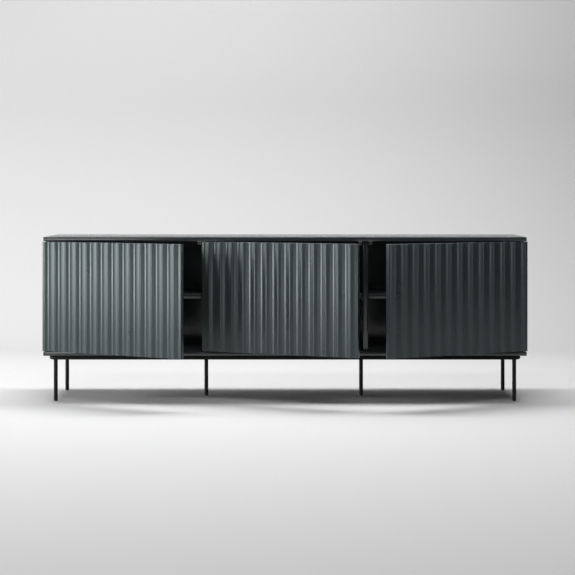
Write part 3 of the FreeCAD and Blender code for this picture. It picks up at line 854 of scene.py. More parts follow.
@dataclass
class Carcass:
    """The boards of the case, with eased edges and rebates for the back panel."""

    easing: float = 1.0 * MM
    shelf_easing: float = 1.5 * MM
    rebate: float = 9 * MM
    screw_inset: float = 60 * MM
    screw_head: float = 3.4 * MM
    screw_depth: float = 2 * MM

    def level_board(self, node: str, rises: bool) -> Piece:
        """The top or the bottom board, whose rear edge is stepped for the back panel.

        Args:
            node: The CAD node that it stands for.
            rises: Whether the step lies on the board's lower side, as in the top board.

        Returns:
            The finished board.
        """
        low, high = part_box(node)
        back_low, back_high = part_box("back_panel")
        board = new_box(node + "_board", low, Vector((high.x, back_low.y, high.z)))
        step = low.z + self.rebate if rises else high.z - self.rebate
        with editing(board, Kind.FACES):
            cut((back_low.x, 0, 0), (1, 0, 0))
            cut((back_high.x, 0, 0), (1, 0, 0))
            cut((0, 0, step), (0, 0, 1))

            def is_whole(face: bmesh.types.BMFace) -> bool:
                """Whether a piece of the rear face runs on behind the back panel's edge."""
                spot = middle(face)
                beside = not back_low.x < spot.x < back_high.x
                beyond = spot.z > step if rises else spot.z < step
                return face.normal.y > 0.9 and (beside or beyond)

            pick(board, Kind.FACES, is_whole)
            extrude((0, high.y - back_low.y, 0))
        close_up(board)
        ease(board, self.easing)
        return board

    def side_board(self, node: str, way: int) -> Piece:
        """An end board, stepped at the rear of its inner face.

        Args:
            node: The CAD node that it stands for.
            way: 1 if the inside lies to the right of it, -1 to the left.

        Returns:
            The finished board.
        """
        low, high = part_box(node)
        back_low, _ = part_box("back_panel")
        board = new_box(node + "_board", low, Vector((high.x, back_low.y, high.z)))
        inner = high.x if way > 0 else low.x
        step = inner - way * self.rebate
        with editing(board, Kind.FACES):
            cut((step, 0, 0), (1, 0, 0))
            pick(board, Kind.FACES, lambda face: face.normal.y > 0.9 and (step - middle(face).x) * way > 0)
            extrude((0, high.y - back_low.y, 0))
        close_up(board)
        ease(board, self.easing)
        return board

    def plain_board(self, node: str, easing: float) -> Piece:
        """A partition or a shelf: a board with a lipping line let into its front edge.

        Args:
            node: The CAD node that it stands for.
            easing: The width of its rounded edges.

        Returns:
            The finished board.
        """
        low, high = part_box(node)
        board = new_box(node + "_board", low, high)
        with editing(board, Kind.EDGES):
            cut((0, low.y + 2 * MM, 0), (0, 1, 0))
        ease(board, easing, segments=3)
        return board

    def screws(self) -> Piece:
        """The back panel's countersunk screws, each with a cross recess.

        Returns:
            All the screws as one piece.
        """
        low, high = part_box("back_panel")
        left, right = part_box("left_partition"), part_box("right_partition")
        shelf_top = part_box("left_shelf")[1].z
        side = high.x - self.rebate / 2
        columns = (-side, (left[0].x + left[1].x) / 2, (right[0].x + right[1].x) / 2, side)
        rows = (left[0].z + self.screw_inset, shelf_top - self.screw_inset, left[1].z - self.screw_inset)
        screw = Screw(self.screw_head, self.screw_depth).made("back_screw", Vector())
        rolled(screw, -math.pi / 2, "X", Vector())
        made = [copied(screw, Vector((x, high.y, z))) for x in columns for z in rows]
        bpy.data.objects.remove(screw)
        return united("back_screw_heads", made)

    def build(self, stores: Stores) -> None:
        """Makes the boards and the back screws.

        Args:
            stores: Where each piece gets its finish and its body.
        """
        stores.place(self.level_board("top_panel", rises=True), "top_panel")
        stores.place(self.level_board("bottom_panel", rises=False), "bottom_panel")
        stores.place(self.side_board("left_side_panel", 1), "left_side_panel")
        stores.place(self.side_board("right_side_panel", -1), "right_side_panel")
        for node in ("left_partition", "right_partition"):
            stores.place(self.plain_board(node, self.easing), node)
        for node in ("left_shelf", "centre_shelf", "right_shelf"):
            stores.place(self.plain_board(node, self.shelf_easing), node)
        stores.place(self.screws(), "back_panel_screws")


@dataclass
class Screw:
    """A screw's head and a short shank, with a cross recess, facing up."""

    head: float
    depth: float
    shank: float = 1.7 * MM
    length: float = 9 * MM
    crown: float = 0.0

    def made(self, name: str, top: Vector) -> Piece:
        """Turns the screw and cuts its recess.

        Args:
            name: The piece's name.
            top: The middle of the head's face.

        Returns:
            The screw, standing along Z with its head up.
        """
        rim = 0.25 * MM
        rings = [
            (self.shank * 0.8, -self.length), (self.shank, 0.6 * MM - self.length),
            (self.shank, -self.depth), (self.head, -rim if self.crown == 0 else -self.depth),
        ]
        if self.crown:
            rings.append((self.head, -self.crown))
        rings.append((self.head - rim, 0))
        screw = turned(name, top, rings, sides=24)
        arm, slot = self.head * 0.62, self.head * 0.16
        for reach in (Vector((arm, slot, 0)), Vector((slot, arm, 0))):
            lift = Vector((0, 0, self.depth * 0.7))
            tool = new_box("recess", top - reach - lift, top + reach + lift)
            bored(screw, tool)
        smooth(screw, 35)
        return screw


@dataclass
class ShelfSupports:
    """The angle supports that a shelf rests on: a pin, a plate on the board and a ledge."""

    bay: str
    pin_length: float = 8 * MM
    pin_radius: float = 2.5 * MM
    reach: float = 8 * MM
    drop: float = 12 * MM
    width: float = 12 * MM
    gauge: float = 1.2 * MM

    def one(self) -> Piece:
        """A support at the origin, with the board on its left and the shelf above it.

        Returns:
            The support.
        """
        half = self.width / 2
        angle = new_box("angle", Vector((0, -half, -self.gauge)), Vector((self.reach, half, 0)))
        with editing(angle, Kind.FACES):
            cut((self.gauge, 0, 0), (1, 0, 0))
            pick(angle, Kind.FACES, lambda face: face.normal.z < -0.9 and middle(face).x < self.gauge)
            extrude((0, 0, self.gauge - self.drop))
        with editing(angle, Kind.EDGES):
            def is_corner(edge: bmesh.types.BMEdge) -> bool:
                """Whether an edge is one of the four outer corners, seen square on."""
                spot, way = middle(edge), edge.verts[0].co - edge.verts[1].co
                ledge = spot.x > self.reach - 0.1 * MM and abs(way.z) > 0.5 * self.gauge
                plate = spot.z < 0.1 * MM - self.drop and abs(way.x) > 0.5 * self.gauge
                return ledge or plate

            pick(angle, Kind.EDGES, is_corner)
            bpy.ops.mesh.bevel(offset=3 * MM, segments=5)
        close_up(angle)
        ease(angle, 0.2 * MM)
        pin = turned("pin", Vector(), [
            (self.pin_radius * 0.8, -self.pin_length), (self.pin_radius, 0.6 * MM - self.pin_length),
            (self.pin_radius, 0.3 * MM), (self.pin_radius * 1.5, 0.3 * MM + self.gauge),
            (self.pin_radius * 1.3, 0.9 * MM + self.gauge),
        ], sides=20)
        rolled(pin, math.pi / 2, "Y", Vector())
        with editing(pin, Kind.VERTS):
            pick_all()
            bpy.ops.transform.translate(value=(0, 0, -self.drop / 2))
        return united("support", [angle, pin])

    def build(self, stores: Stores) -> None:
        """Makes the bay's four supports.

        Args:
            stores: Where the piece gets its finish and its body.
        """
        node = self.bay + "_shelf_supports"
        low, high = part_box(node)
        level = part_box(self.bay + "_shelf")[0].z
        rows = (low.y + self.width / 2, high.y - self.width / 2)
        left = self.one()
        right = rolled(copied(left, Vector()), math.pi, "Z", Vector())
        made = [copied(left, Vector((low.x + self.pin_length, row, level))) for row in rows]
        made += [copied(right, Vector((high.x - self.pin_length, row, level))) for row in rows]
        bpy.data.objects.remove(left)
        bpy.data.objects.remove(right)
        stores.place(united(self.bay + "_support_angles", made), node)


# ---- doors ---------------------------------------------------------------------------------


@dataclass
class FlutedDoor:
    """A door whose front is cut in wide hollows between slim round ridges."""

    side: str
    width: float
    left_margin: float
    right_margin: float
    way: int
    ridges: int = 13
    depth: float = 6 * MM
    ridge: float = 14 * MM
    thickness: float = 28 * MM
    pivot_inset: float = 8 * MM
    pivot_depth: float = 17 * MM
    easing: float = 0.9 * MM
    pin: float = 3 * MM
    collar: float = 5.5 * MM
    pin_reach: float = 9 * MM
    end_gap: float = 3 * MM
    strike: float = 5.5 * MM
    ridge_steps: int = 5
    hollow_steps: int = 14
    pivot: Vector = field(init=False)
    turn: float = field(init=False)

    def __post_init__(self) -> None:
        """Reads the door's pivot, and how far open it stands, from its hinge joint."""
        hinge = next(j for j in frame["joints"] if j["name"] == self.side + "_door_hinge")
        self.pivot = Vector(hinge["pos_m"])
        self.turn = -math.radians(hinge["range_deg"][0]) * hinge["axis"][2]

    @property
    def start(self) -> float:
        """Where the closed door's left edge is."""
        hinge_edge = self.pivot.x - self.way * self.pivot_inset
        return hinge_edge if self.way > 0 else hinge_edge - self.width

    @property
    def front(self) -> float:
        """The plane that the closed door's ridges touch."""
        return self.pivot.y - self.pivot_depth

    def one_flute(self, left: float, pitch: float, low: float, high: float) -> Piece:
        """One hollow, from the crest of a ridge to the crest of the next.

        Args:
            left: Where the first crest is.
            pitch: How far apart the crests are.
            low: The door's lower edge.
            high: The door's upper edge.

        Returns:
            A sheet, one flute wide.
        """
        half = pitch / 2
        hollow = half * half / (2 * self.depth) + self.depth / 2 - self.ridge
        lean = math.asin(half / (hollow + self.ridge))
        centre = Vector((left + half, self.front, (low + high) / 2))
        sheet = new_sheet(self.side + "_flutes", centre, pitch, high - low, upright=True)
        with editing(sheet, Kind.VERTS):
            pick(sheet, Kind.VERTS, lambda vert: vert.co.x > left + half)
            bpy.ops.mesh.delete(type="VERT")
            pick_all()
            arcs = (
                (left, self.front + self.ridge, lean, self.ridge_steps),
                (left + half, self.front + self.depth - hollow, -2 * lean, self.hollow_steps),
                (left + pitch, self.front + self.ridge, lean, self.ridge_steps),
            )
            for x, y, turn, steps in arcs:
                bpy.ops.mesh.spin(steps=steps, angle=SPIN_SIGN * turn, center=(x, y, 0), axis=(0, 0, 1))
        return sheet

    def leaf(self) -> Piece:
        """The whole door: fluted in front, flat behind, eased all round and swung open.

        Returns:
            The finished door.
        """
        low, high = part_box(self.side + "_door")
        pitch = (self.width - self.left_margin - self.right_margin) / (self.ridges - 1)
        leaf = self.one_flute(self.start + self.left_margin - pitch, pitch, low.z, high.z)
        refine(
            leaf, "ARRAY", count=self.ridges + 1, use_relative_offset=False, use_constant_offset=True,
            constant_offset_displace=(pitch, 0, 0), use_merge_vertices=True, merge_threshold=0.01 * MM,
        )
        back = self.front + self.thickness
        with editing(leaf, Kind.FACES):
            cut((self.start, 0, 0), (-1, 0, 0), drop=True)
            cut((self.start + self.width, 0, 0), (1, 0, 0), drop=True)
            pick_all()
            extrude((0, self.thickness, 0))
            bpy.ops.transform.resize(value=(1, 0, 1), center_override=(0, back, 0))
        close_up(leaf)
        ease(leaf, self.easing, segments=3, angle=60)
        leaf.name = leaf.data.name = self.side + "_fluted_door"
        return rolled(leaf, self.turn, "Z", self.pivot)

    def pivots(self) -> list[Piece]:
        """The lower and the upper pin, each with a collar that carries the door.

        Returns:
            The lower pin and the upper pin.
        """
        low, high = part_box(self.side + "_door_lower_pivot")
        rim, seat = 0.4 * MM, self.pin_reach + 0.2 * MM
        head = self.pin_reach + self.end_gap
        rings = [
            (self.pin - rim, 0), (self.pin, rim), (self.pin, seat), (self.collar - rim, seat),
            (self.collar, seat + rim), (self.collar, head - rim), (self.collar - rim, head),
            (self.pin, head), (self.pin, high.z - low.z - rim), (self.pin - rim, high.z - low.z),
        ]
        lower = turned(self.side + "_lower_pin", Vector((self.pivot.x, self.pivot.y, low.z)), rings)
        upper_low, upper_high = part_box(self.side + "_door_upper_pivot")
        upper = copied(lower, Vector((0, 0, upper_low.z - low.z)))
        rolled(upper, math.pi, "X", Vector((self.pivot.x, self.pivot.y, (upper_low.z + upper_high.z) / 2)))
        upper.name = upper.data.name = self.side + "_upper_pin"
        for pin in (lower, upper):
            smooth(pin, 35)
        return [lower, upper]

    def strike_disc(self) -> Piece:
        """The steel disc in the door's back that the latch presses on.

        Returns:
            The disc and its stem.
        """
        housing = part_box(self.side + "_latch_housing")
        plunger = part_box(self.side + "_latch_plunger")
        spot = Vector((
            (housing[0].x + housing[1].x) / 2, self.front + self.thickness,
            (plunger[0].z + plunger[1].z) / 2,
        ))
        disc = turned(self.side + "_strike_disc", spot, [
            (1.6 * MM, -9.5 * MM), (2 * MM, -9 * MM), (2 * MM, -1.5 * MM),
            (self.strike, -1.5 * MM), (self.strike, 0), (self.strike - 0.4 * MM, 0.2 * MM),
            (self.strike * 0.45, 0.2 * MM), (self.strike * 0.35, 0.05 * MM),
        ])
        rolled(disc, -math.pi / 2, "X", spot)
        smooth(disc, 35)
        return rolled(disc, self.turn, "Z", self.pivot)

    def build(self, stores: Stores) -> None:
        """Makes the door, its pivots and its strike.

        Args:
            stores: Where each piece gets its finish and its body.
        """
        stores.place(self.leaf(), self.side + "_door")
        for pin, end in zip(self.pivots(), ("lower", "upper")):
            stores.place(pin, f"{self.side}_door_{end}_pivot")
        stores.place(self.strike_disc(), self.side + "_strike_plate")


@dataclass
class Bushes:
    """The brass bushes that the door pins turn in, let into the top and the bottom board."""

    radius: float = 5 * MM
    bore: float = 3.05 * MM
    proud: float = 0.15 * MM

    def build(self, stores: Stores) -> None:
        """Makes both sets of bushes.

        Args:
            stores: Where each piece gets its finish and its body.
        """
        for end, up in (("lower", True), ("upper", False)):
            low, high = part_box(end + "_pivot_bushes")
            length = high.z - low.z
            middle_z = (low.z + high.z) / 2
            bush = turned(end + "_bush", Vector((0, 0, low.z)), [
                (self.radius, 0), (self.radius, length), (self.radius - self.proud, length + self.proud),
                (self.bore, length + self.proud), (self.bore, 1 * MM),
            ])
            if not up:
                rolled(bush, math.pi, "X", Vector((0, 0, middle_z)))
            smooth(bush, 35)
            pivots = [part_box(f"{side}_door_{end}_pivot") for side in ("left", "centre", "right")]
            spots = [(corner[0] + corner[1]) / 2 for corner in pivots]
            made = [copied(bush, Vector((spot.x, spot.y, 0))) for spot in spots]
            bpy.data.objects.remove(bush)
            stores.place(united(end + "_bushes", made), end + "_pivot_bushes")


@dataclass
class PushLatch:
    """A push latch under the top board: its case, with a screwed tail, and its plunger."""

    side: str
    case_length: float = 50 * MM
    tail: float = 3 * MM
    bore: float = 4.05 * MM
    plunger: float = 4 * MM
    end_wall: float = 6 * MM
    screw_rows: tuple[float, float] = (56 * MM, 66 * MM)
    screw_head: float = 3.4 * MM
    screw_depth: float = 2 * MM
    wire: float = 0.4 * MM
    turns: int = 8
    wire_sides: int = 12
    turn_steps: int = 24
    coil_gap: float = 0.1 * MM

    def case(self) -> Piece:
        """The moulded case, panelled at its sides, bored for the plunger and for its screws.

        Returns:
            The case.
        """
        low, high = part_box(self.side + "_latch_housing")
        rear = low.y + self.case_length
        case = new_box(self.side + "_latch_case", low, Vector((high.x, rear, high.z)))
        with editing(case, Kind.FACES):
            pick(case, Kind.FACES, lambda face: abs(face.normal.x) > 0.9)
            bpy.ops.mesh.inset(thickness=3 * MM, use_individual=True)
            bpy.ops.transform.resize(value=(0.92, 1, 1), center_override=((low.x + high.x) / 2, 0, 0))
            pick(case, Kind.FACES, lambda face: face.normal.y < -0.9)
            bpy.ops.mesh.inset(thickness=1.4 * MM)
            extrude((0, 0.5 * MM, 0))
            pick(case, Kind.FACES, lambda face: face.normal.y > 0.9)
            bpy.ops.mesh.bisect(plane_co=(0, 0, high.z - self.tail), plane_no=(0, 0, 1))
            pick(case, Kind.FACES, lambda face: face.normal.y > 0.9 and middle(face).z > high.z - self.tail)
            extrude((0, high.y - rear, 0))
        close_up(case)
        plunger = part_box(self.side + "_latch_plunger")
        mouth = Vector(((low.x + high.x) / 2, low.y - 1 * MM, (plunger[0].z + plunger[1].z) / 2))
        depth = self.case_length - self.end_wall + 1 * MM
        bored(case, new_rod("bore", mouth, self.bore, depth, Axis.Y))
        for row in self.screw_rows:
            seat = Vector((mouth.x, low.y + row, high.z - self.tail - 1 * MM))
            bored(case, new_rod("seat", seat, self.screw_head, self.screw_depth + 0.9 * MM))
        ease(case, 0.3 * MM)
        return case

    def plunger_rod(self) -> Piece:
        """The domed rod that the door pushes in.

        Returns:
            The plunger.
        """
        low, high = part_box(self.side + "_latch_plunger")
        tip = Vector(((low.x + high.x) / 2, low.y, (low.z + high.z) / 2))
        rod = turned(self.side + "_plunger_rod", tip, [
            (0.3 * self.plunger, 0), (0.65 * self.plunger, 0.25 * MM), (0.88 * self.plunger, 0.8 * MM),
            (self.plunger, 1.8 * MM), (self.plunger, 20 * MM), (0.9 * self.plunger, 20.3 * MM),
            (0.9 * self.plunger, 22 * MM), (self.plunger, 22.3 * MM), (self.plunger, high.y - low.y),
        ])
        rolled(rod, -math.pi / 2, "X", tip)
        smooth(rod, 40)
        return rod

    def spring(self) -> Piece:
        """The coil behind the plunger.

        Returns:
            The spring.
        """
        low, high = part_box(self.side + "_latch_spring")
        length = high.y - low.y
        bpy.ops.mesh.primitive_circle_add(vertices=self.wire_sides, radius=self.wire)
        coil = bpy.context.object
        with editing(coil, Kind.VERTS):
            pick_all()
            bpy.ops.transform.translate(value=((high.x - low.x) / 2 - self.wire, 0, 0))
        refine(
            coil, "SCREW", axis="Y", iterations=self.turns, steps=self.turn_steps, render_steps=self.turn_steps,
            screw_offset=(length - 2 * self.wire) / self.turns, use_merge_vertices=True,
            merge_threshold=0.001 * MM,
        )
        with editing(coil, Kind.EDGES):
            pick_all()
            bpy.ops.mesh.fill_holes(sides=0)
            bpy.ops.mesh.normals_make_consistent(inside=False)
        coil.location = ((low.x + high.x) / 2, low.y + self.wire, (low.z + high.z) / 2)
        take(coil)
        return settle(self.side + "_latch_coil")

    def screws(self) -> list[Piece]:
        """The two screws in the tail, heads down.

        Returns:
            The screws.
        """
        low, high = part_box(self.side + "_latch_housing")
        made = []
        for row in self.screw_rows:
            face = Vector(((low.x + high.x) / 2, low.y + row, high.z - self.tail))
            screw = Screw(self.screw_head - 0.1 * MM, self.screw_depth).made("latch_screw", face)
            made.append(rolled(screw, math.pi, "X", face))
        return made

    def build(self, stores: Stores) -> list[Piece]:
        """Makes the case, the plunger and the spring.

        Args:
            stores: Where each piece gets its finish and its body.

        Returns:
            The latch's screws, which are one piece with the other latches' screws.
        """
        stores.place(self.case(), self.side + "_latch_housing")
        stores.place(self.plunger_rod(), self.side + "_latch_plunger")
        coil = stores.place(self.spring(), self.side + "_latch_spring")
        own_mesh(coil)
        return self.screws()


# ---- stand ---------------------------------------------------------------------------------


@dataclass
class TubeStand:
    """A welded ring of round tube with two cross rails, on six straight legs."""

    sides: int = 32
    bend_steps: int = 12
    flare: float = 1.2 * MM
    pad_corner: float = 4 * MM
    pad_rows: tuple[float, float] = (0.3, 0.9)
    pad_length: float = 50 * MM
    pad_width: float = 44 * MM
    screw_head: float = 5 * MM
    screw_height: float = 3 * MM
    screw_from_rail: float = 24 * MM

    def ring(self) -> Piece:
        """The ring: four straight lengths with a round bend at each corner.

        Returns:
            The ring as one closed tube.
        """
        low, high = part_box("front_rail")
        end_low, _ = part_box("left_end_rail")
        radius = (high.z - low.z) / 2
        height, front = (low.z + high.z) / 2, (low.y + high.y) / 2
        bend = low.x - end_low.x - radius
        straight, side = high.x, -front - bend
        drop_selection()
        bpy.ops.mesh.primitive_circle_add(
            vertices=self.sides, radius=radius, rotation=(0, math.pi / 2, 0), location=(-straight, front, height)
        )
        ring = settle("stand_ring")
        lengths = ((2 * straight, 0, 0), (0, 2 * side, 0), (-2 * straight, 0, 0), (0, -2 * side, 0))
        corners = ((straight, -side), (straight, side), (-straight, side), (-straight, -side))
        with editing(ring, Kind.EDGES):
            pick_all()
            for length, (x, y) in zip(lengths, corners):
                bpy.ops.mesh.extrude_edges_move(TRANSFORM_OT_translate={"value": length})
                bpy.ops.mesh.spin(
                    steps=self.bend_steps, angle=SPIN_SIGN * math.pi / 2, center=(x, y, height), axis=(0, 0, 1)
                )
        close_up(ring)
        smooth(ring, 40)
        return ring

    def cross_rail(self, side: str) -> Piece:
        """A straight tube between the front and the rear rail, flared by its welds.

        Args:
            side: left or right.

        Returns:
            The cross rail.
        """
        low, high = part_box(side + "_cross_rail")
        rail_low, rail_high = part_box("front_rail")
        radius = (high.x - low.x) / 2
        near, middle_y = rail_high.y, (rail_low.y + rail_high.y) / 2
        foot = Vector(((low.x + high.x) / 2, middle_y, (low.z + high.z) / 2))
        weld, length = near - middle_y, -2 * middle_y
        rings = [
            (radius * 0.9, 0), (radius + self.flare, weld - 2 * MM), (radius + 0.4 * self.flare, weld + 1.5 * MM),
            (radius, weld + 4 * MM), (radius, length - weld - 4 * MM),
            (radius + 0.4 * self.flare, length - weld - 1.5 * MM),
            (radius + self.flare, length - weld + 2 * MM), (radius * 0.9, length),
        ]
        rail = turned(side + "_cross_tube", foot, rings, self.sides)
        rolled(rail, -math.pi / 2, "X", foot)
        smooth(rail, 40)
        return rail

    def leg(self, node: str) -> Piece:
        """A straight tube leg with a weld bead where it meets its rail.

        Args:
            node: The CAD node that it stands for.

        Returns:
            The leg.
        """
        low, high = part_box(node)
        rail_low, rail_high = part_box("front_rail")
        radius = (high.x - low.x) / 2
        under, axis = rail_low.z - low.z, (rail_low.z + rail_high.z) / 2 - low.z
        rings = [
            (radius - 1.6 * MM, 0), (radius - 0.5 * MM, 0), (radius, 0.5 * MM), (radius, under - 4 * MM),
            (radius + 0.4 * self.flare, under - 1.5 * MM), (radius + self.flare * 0.8, under + 0.8 * MM),
            (radius * 0.95, axis - 2 * MM),
        ]
        leg = turned(node + "_tube", Vector(((low.x + high.x) / 2, (low.y + high.y) / 2, low.z)), rings, self.sides)
        smooth(leg, 40)
        return leg

    def glides(self, legs: list[str]) -> Piece:
        """The plastic feet, each with a waist where it enters its tube.

        Args:
            legs: The legs' CAD nodes.

        Returns:
            All the glides as one piece.
        """
        glide = turned("glide", Vector(), [
            (6.6 * MM, 0), (7.6 * MM, 0.3 * MM), (8 * MM, 1 * MM), (8 * MM, 3.2 * MM), (7.6 * MM, 3.6 * MM),
            (6.3 * MM, 3.6 * MM), (6.3 * MM, 18 * MM), (5.6 * MM, 19 * MM),
        ])
        smooth(glide, 40)
        spots = [(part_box(leg)[0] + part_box(leg)[1]) / 2 for leg in legs]
        made = [copied(glide, Vector((spot.x, spot.y, 0))) for spot in spots]
        bpy.data.objects.remove(glide)
        return united("glide_feet", made)

    def pads(self) -> tuple[Piece, Piece]:
        """The plates that the case is screwed down through, and their screws.

        Returns:
            All the plates as one piece, and all the screws as one piece.
        """
        low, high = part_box("mounting_pads")
        rail_low, rail_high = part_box("front_rail")
        rail_y = (rail_low.y + rail_high.y) / 2
        half = Vector((self.pad_length / 2, self.pad_width / 2, 0))
        plate = new_box("plate", -half, half + Vector((0, 0, high.z - low.z)))
        with editing(plate, Kind.EDGES):
            pick(plate, Kind.EDGES, lambda edge: abs(edge.verts[0].co.z - edge.verts[1].co.z) > 1 * MM)
            bpy.ops.mesh.bevel(offset=self.pad_corner, segments=6)
        ease(plate, 0.4 * MM)
        screw = Screw(self.screw_head, self.screw_height, 2.4 * MM, 12 * MM, 1.2 * MM).made("case_screw", Vector())
        rolled(screw, math.pi, "X", Vector())
        plates, screws = [], []
        for end in (-1, 1):
            for side in (-1, 1):
                for row in self.pad_rows:
                    y = end * (high.y - self.pad_width / 2)
                    plates.append(copied(plate, Vector((side * row, y, low.z))))
                    screw_y = end * (-rail_y - self.screw_from_rail)
                    screws.append(copied(screw, Vector((side * row, screw_y, low.z - self.screw_height))))
        bpy.data.objects.remove(plate)
        bpy.data.objects.remove(screw)
        return united("stand_plates", plates), united("case_screws", screws)

    def build(self, stores: Stores) -> None:
        """Makes the whole stand.

        Args:
            stores: Where each piece gets its finish and its body.
        """
        stores.place(self.ring(), "front_rail", "rear_rail", "left_end_rail", "right_end_rail")
        for side in ("left", "right"):
            stores.place(self.cross_rail(side), side + "_cross_rail")
        legs = [f"{row}_{side}_leg" for row in ("front", "rear", "middle") for side in ("left", "right")]
        for leg in legs:
            stores.place(self.leg(leg), leg)
        stores.place(self.glides(legs), "leg_glides")
        plates, screws = self.pads()
        stores.place(plates, "mounting_pads")
        stores.place(screws, "mounting_screws")


# ---- studio --------------------------------------------------------------------------------


@dataclass
class Softbox:
    """A soft rectangular light that faces a point, and may light the sideboard only."""

    name: str
    place: Colour
    aim: Colour
    size: tuple[float, float]
    power: float
    kept_off_floor: bool = False

    def hang(self) -> Piece:
        """Makes the light.

        Returns:
            The light's object.
        """
        lamp = bpy.data.lights.new(self.name, "AREA")
        lamp.shape = "RECTANGLE"
        lamp.size, lamp.size_y = self.size
        lamp.energy = self.power
        light = bpy.data.objects.new(self.name, lamp)
        bpy.context.scene.collection.objects.link(light)
        light.visible_camera = False
        if self.kept_off_floor:
            lit = bpy.data.collections.new(self.name + "_lights")
            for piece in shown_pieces():
                lit.objects.link(piece)
            light.light_linking.receiver_collection = lit
        light.location = self.place
        light.rotation_euler = (Vector(self.aim) - Vector(self.place)).to_track_quat("-Z", "Y").to_euler()
        return light


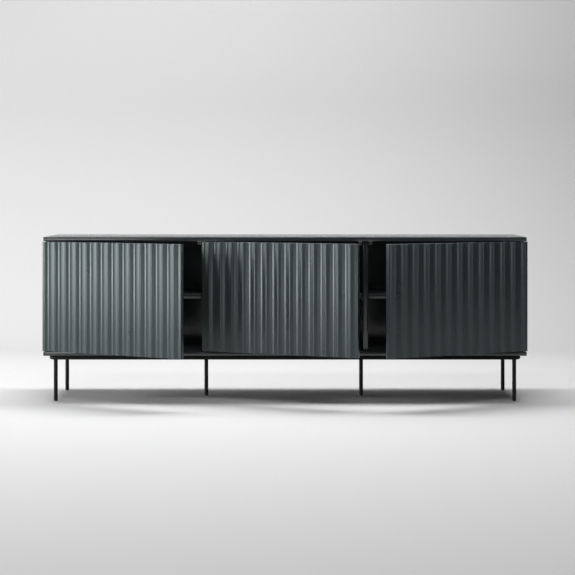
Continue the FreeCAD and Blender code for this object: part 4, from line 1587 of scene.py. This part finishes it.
@dataclass
class Studio:
    """A pale floor that sweeps up into a pale wall, soft lights and the camera."""

    tone: Colour = (0.91, 0.91, 0.91)
    shade: float = 0.995
    ambient: float = 0.02
    floor: float = 16.0
    wall: float = 3.4
    sweep: float = 1.6
    wall_height: float = 7.0
    sweep_steps: int = 32
    lift: float = 0.4 * MM
    camera_height: float = 0.976
    camera_distance: float = 6.5
    lens: float = 86.71
    shift: tuple[float, float] = (0.0044, -0.1739)

    def paper(self) -> bpy.types.Material:
        """The matt painted surface of floor and wall, open to the light from behind.

        Returns:
            The material.
        """
        material = bpy.data.materials.new("studio_paint")
        material.use_nodes = True
        sketch = Sketch(material.node_tree)
        shader = material.node_tree.nodes["Principled BSDF"]
        where = sketch.node("ShaderNodeTexCoord")
        cloud = sketch.noise(where.outputs["Object"], 0.8, 3.0)
        low = tuple(channel * self.shade for channel in self.tone)
        sketch.feed(shader.inputs["Base Color"], sketch.blend(cloud, low, self.tone))
        shader.inputs["Roughness"].default_value = 0.85
        shader.inputs["Specular IOR Level"].default_value = 0.15
        clear = sketch.node("ShaderNodeBsdfTransparent")
        side = sketch.node("ShaderNodeNewGeometry")
        both = sketch.node("ShaderNodeMixShader")
        sketch.feed(both.inputs[0], side.outputs["Backfacing"])
        sketch.feed(both.inputs[1], shader.outputs[0])
        sketch.feed(both.inputs[2], clear.outputs[0])
        sketch.feed(material.node_tree.nodes["Material Output"].inputs["Surface"], both.outputs[0])
        return material

    def backdrop(self) -> None:
        """The floor, and the wall that it sweeps up into."""
        paint = self.paper()
        ground = new_sheet("floor", Vector(), 2 * self.floor, 2 * self.floor)
        start = Vector((0, self.wall - self.sweep, self.lift))
        screen = new_sheet("wall", start - Vector((0, 0.005, 0)), 2 * self.floor, 0.01)
        with editing(screen, Kind.EDGES):
            pick(screen, Kind.EDGES, lambda edge: all(vert.co.y > start.y - 0.001 for vert in edge.verts))
            hub = (0, start.y, start.z + self.sweep)
            bpy.ops.mesh.spin(steps=self.sweep_steps, angle=SPIN_SIGN * math.pi / 2, center=hub, axis=(1, 0, 0))
            bpy.ops.mesh.extrude_edges_move(TRANSFORM_OT_translate={"value": (0, 0, self.wall_height)})
        for sheet in (ground, screen):
            sheet.data.materials.append(paint)
            take(sheet)
            bpy.ops.object.shade_smooth()
            sheet.visible_diffuse = False
            sheet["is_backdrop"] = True

    def lights(self) -> None:
        """Four lights on everything, four that light the sideboard only, and the dim room."""
        for light in (
            Softbox("window_left", place=(-5.2, 0.0, 1.2), aim=(0.0, -0.4, 0.35), size=(4.4, 2.2), power=180),
            Softbox("overhead", place=(-0.1, 0.15, 3.9), aim=(-0.1, 0.3, 0.0), size=(4.4, 0.5), power=128),
            Softbox("overhead_front", place=(-0.6, -3.1, 4.6), aim=(-0.6, -3.1, 0.0), size=(4.6, 1.2), power=66),
            Softbox("wall_wash", place=(0.0, 1.3, 4.0), aim=(0.2, 3.4, 1.3), size=(5.0, 0.8), power=32),
            Softbox(
                "key_left", place=(-3.9, -3.5, 0.8), aim=(-0.3, -0.3, 0.5), size=(0.8, 2.0), power=124,
                kept_off_floor=True,
            ),
            Softbox(
                "front_high", place=(0.8, -3.8, 3.4), aim=(0.2, -0.2, 0.6), size=(2.6, 1.2), power=32,
                kept_off_floor=True,
            ),
            Softbox(
                "edge_left", place=(-1.7, -3.9, 0.62), aim=(-0.9, -0.2, 0.7), size=(1.5, 0.5), power=16,
                kept_off_floor=True,
            ),
            Softbox(
                "fill_right", place=(3.4, -3.6, 1.7), aim=(0.9, -0.3, 0.6), size=(1.2, 1.2), power=16,
                kept_off_floor=True,
            ),
        ):
            light.hang()
        world = bpy.data.worlds.new("room")
        bpy.context.scene.world = world
        world.use_nodes = True
        sky = world.node_tree.nodes["Background"]
        sky.inputs["Color"].default_value = (0.97, 0.985, 1.0, 1.0)
        sky.inputs["Strength"].default_value = self.ambient

    def camera(self) -> None:
        """The camera, level and square to the sideboard's front."""
        lens = bpy.data.cameras.new("camera")
        lens.lens = self.lens
        lens.shift_x, lens.shift_y = self.shift
        eye = bpy.data.objects.new("camera", lens)
        bpy.context.scene.collection.objects.link(eye)
        eye.location = (0, -self.camera_distance, self.camera_height)
        eye.rotation_euler = (math.pi / 2, 0, 0)
        bpy.context.scene.camera = eye
        bpy.context.scene.view_settings.view_transform = "Standard"

    def build(self) -> None:
        """Sets up the whole studio round the finished sideboard."""
        self.backdrop()
        self.camera()
        self.lights()


def main() -> None:
    """Builds the sideboard and the studio, in order."""
    logging.basicConfig(level=logging.INFO, format="%(name)s: %(message)s")
    stores = Stores()
    Carcass().build(stores)
    for bay in ("left", "centre", "right"):
        ShelfSupports(bay).build(stores)
    doors = (
        FlutedDoor("left", 719.5 * MM, 12 * MM, 34 * MM, 1),
        FlutedDoor("centre", 747 * MM, 34 * MM, 34 * MM, 1),
        FlutedDoor("right", 719.5 * MM, 34 * MM, 12 * MM, -1),
    )
    screws = []
    for door in doors:
        door.build(stores)
        screws += PushLatch(door.side).build(stores)
    stores.place(united("latch_screw_heads", screws), "latch_screws")
    Bushes().build(stores)
    TubeStand().build(stores)
    stores.dress_the_rest()
    Studio().build()
    log.info("%d new pieces", stores.count)


if __name__ == "__main__":
    main()
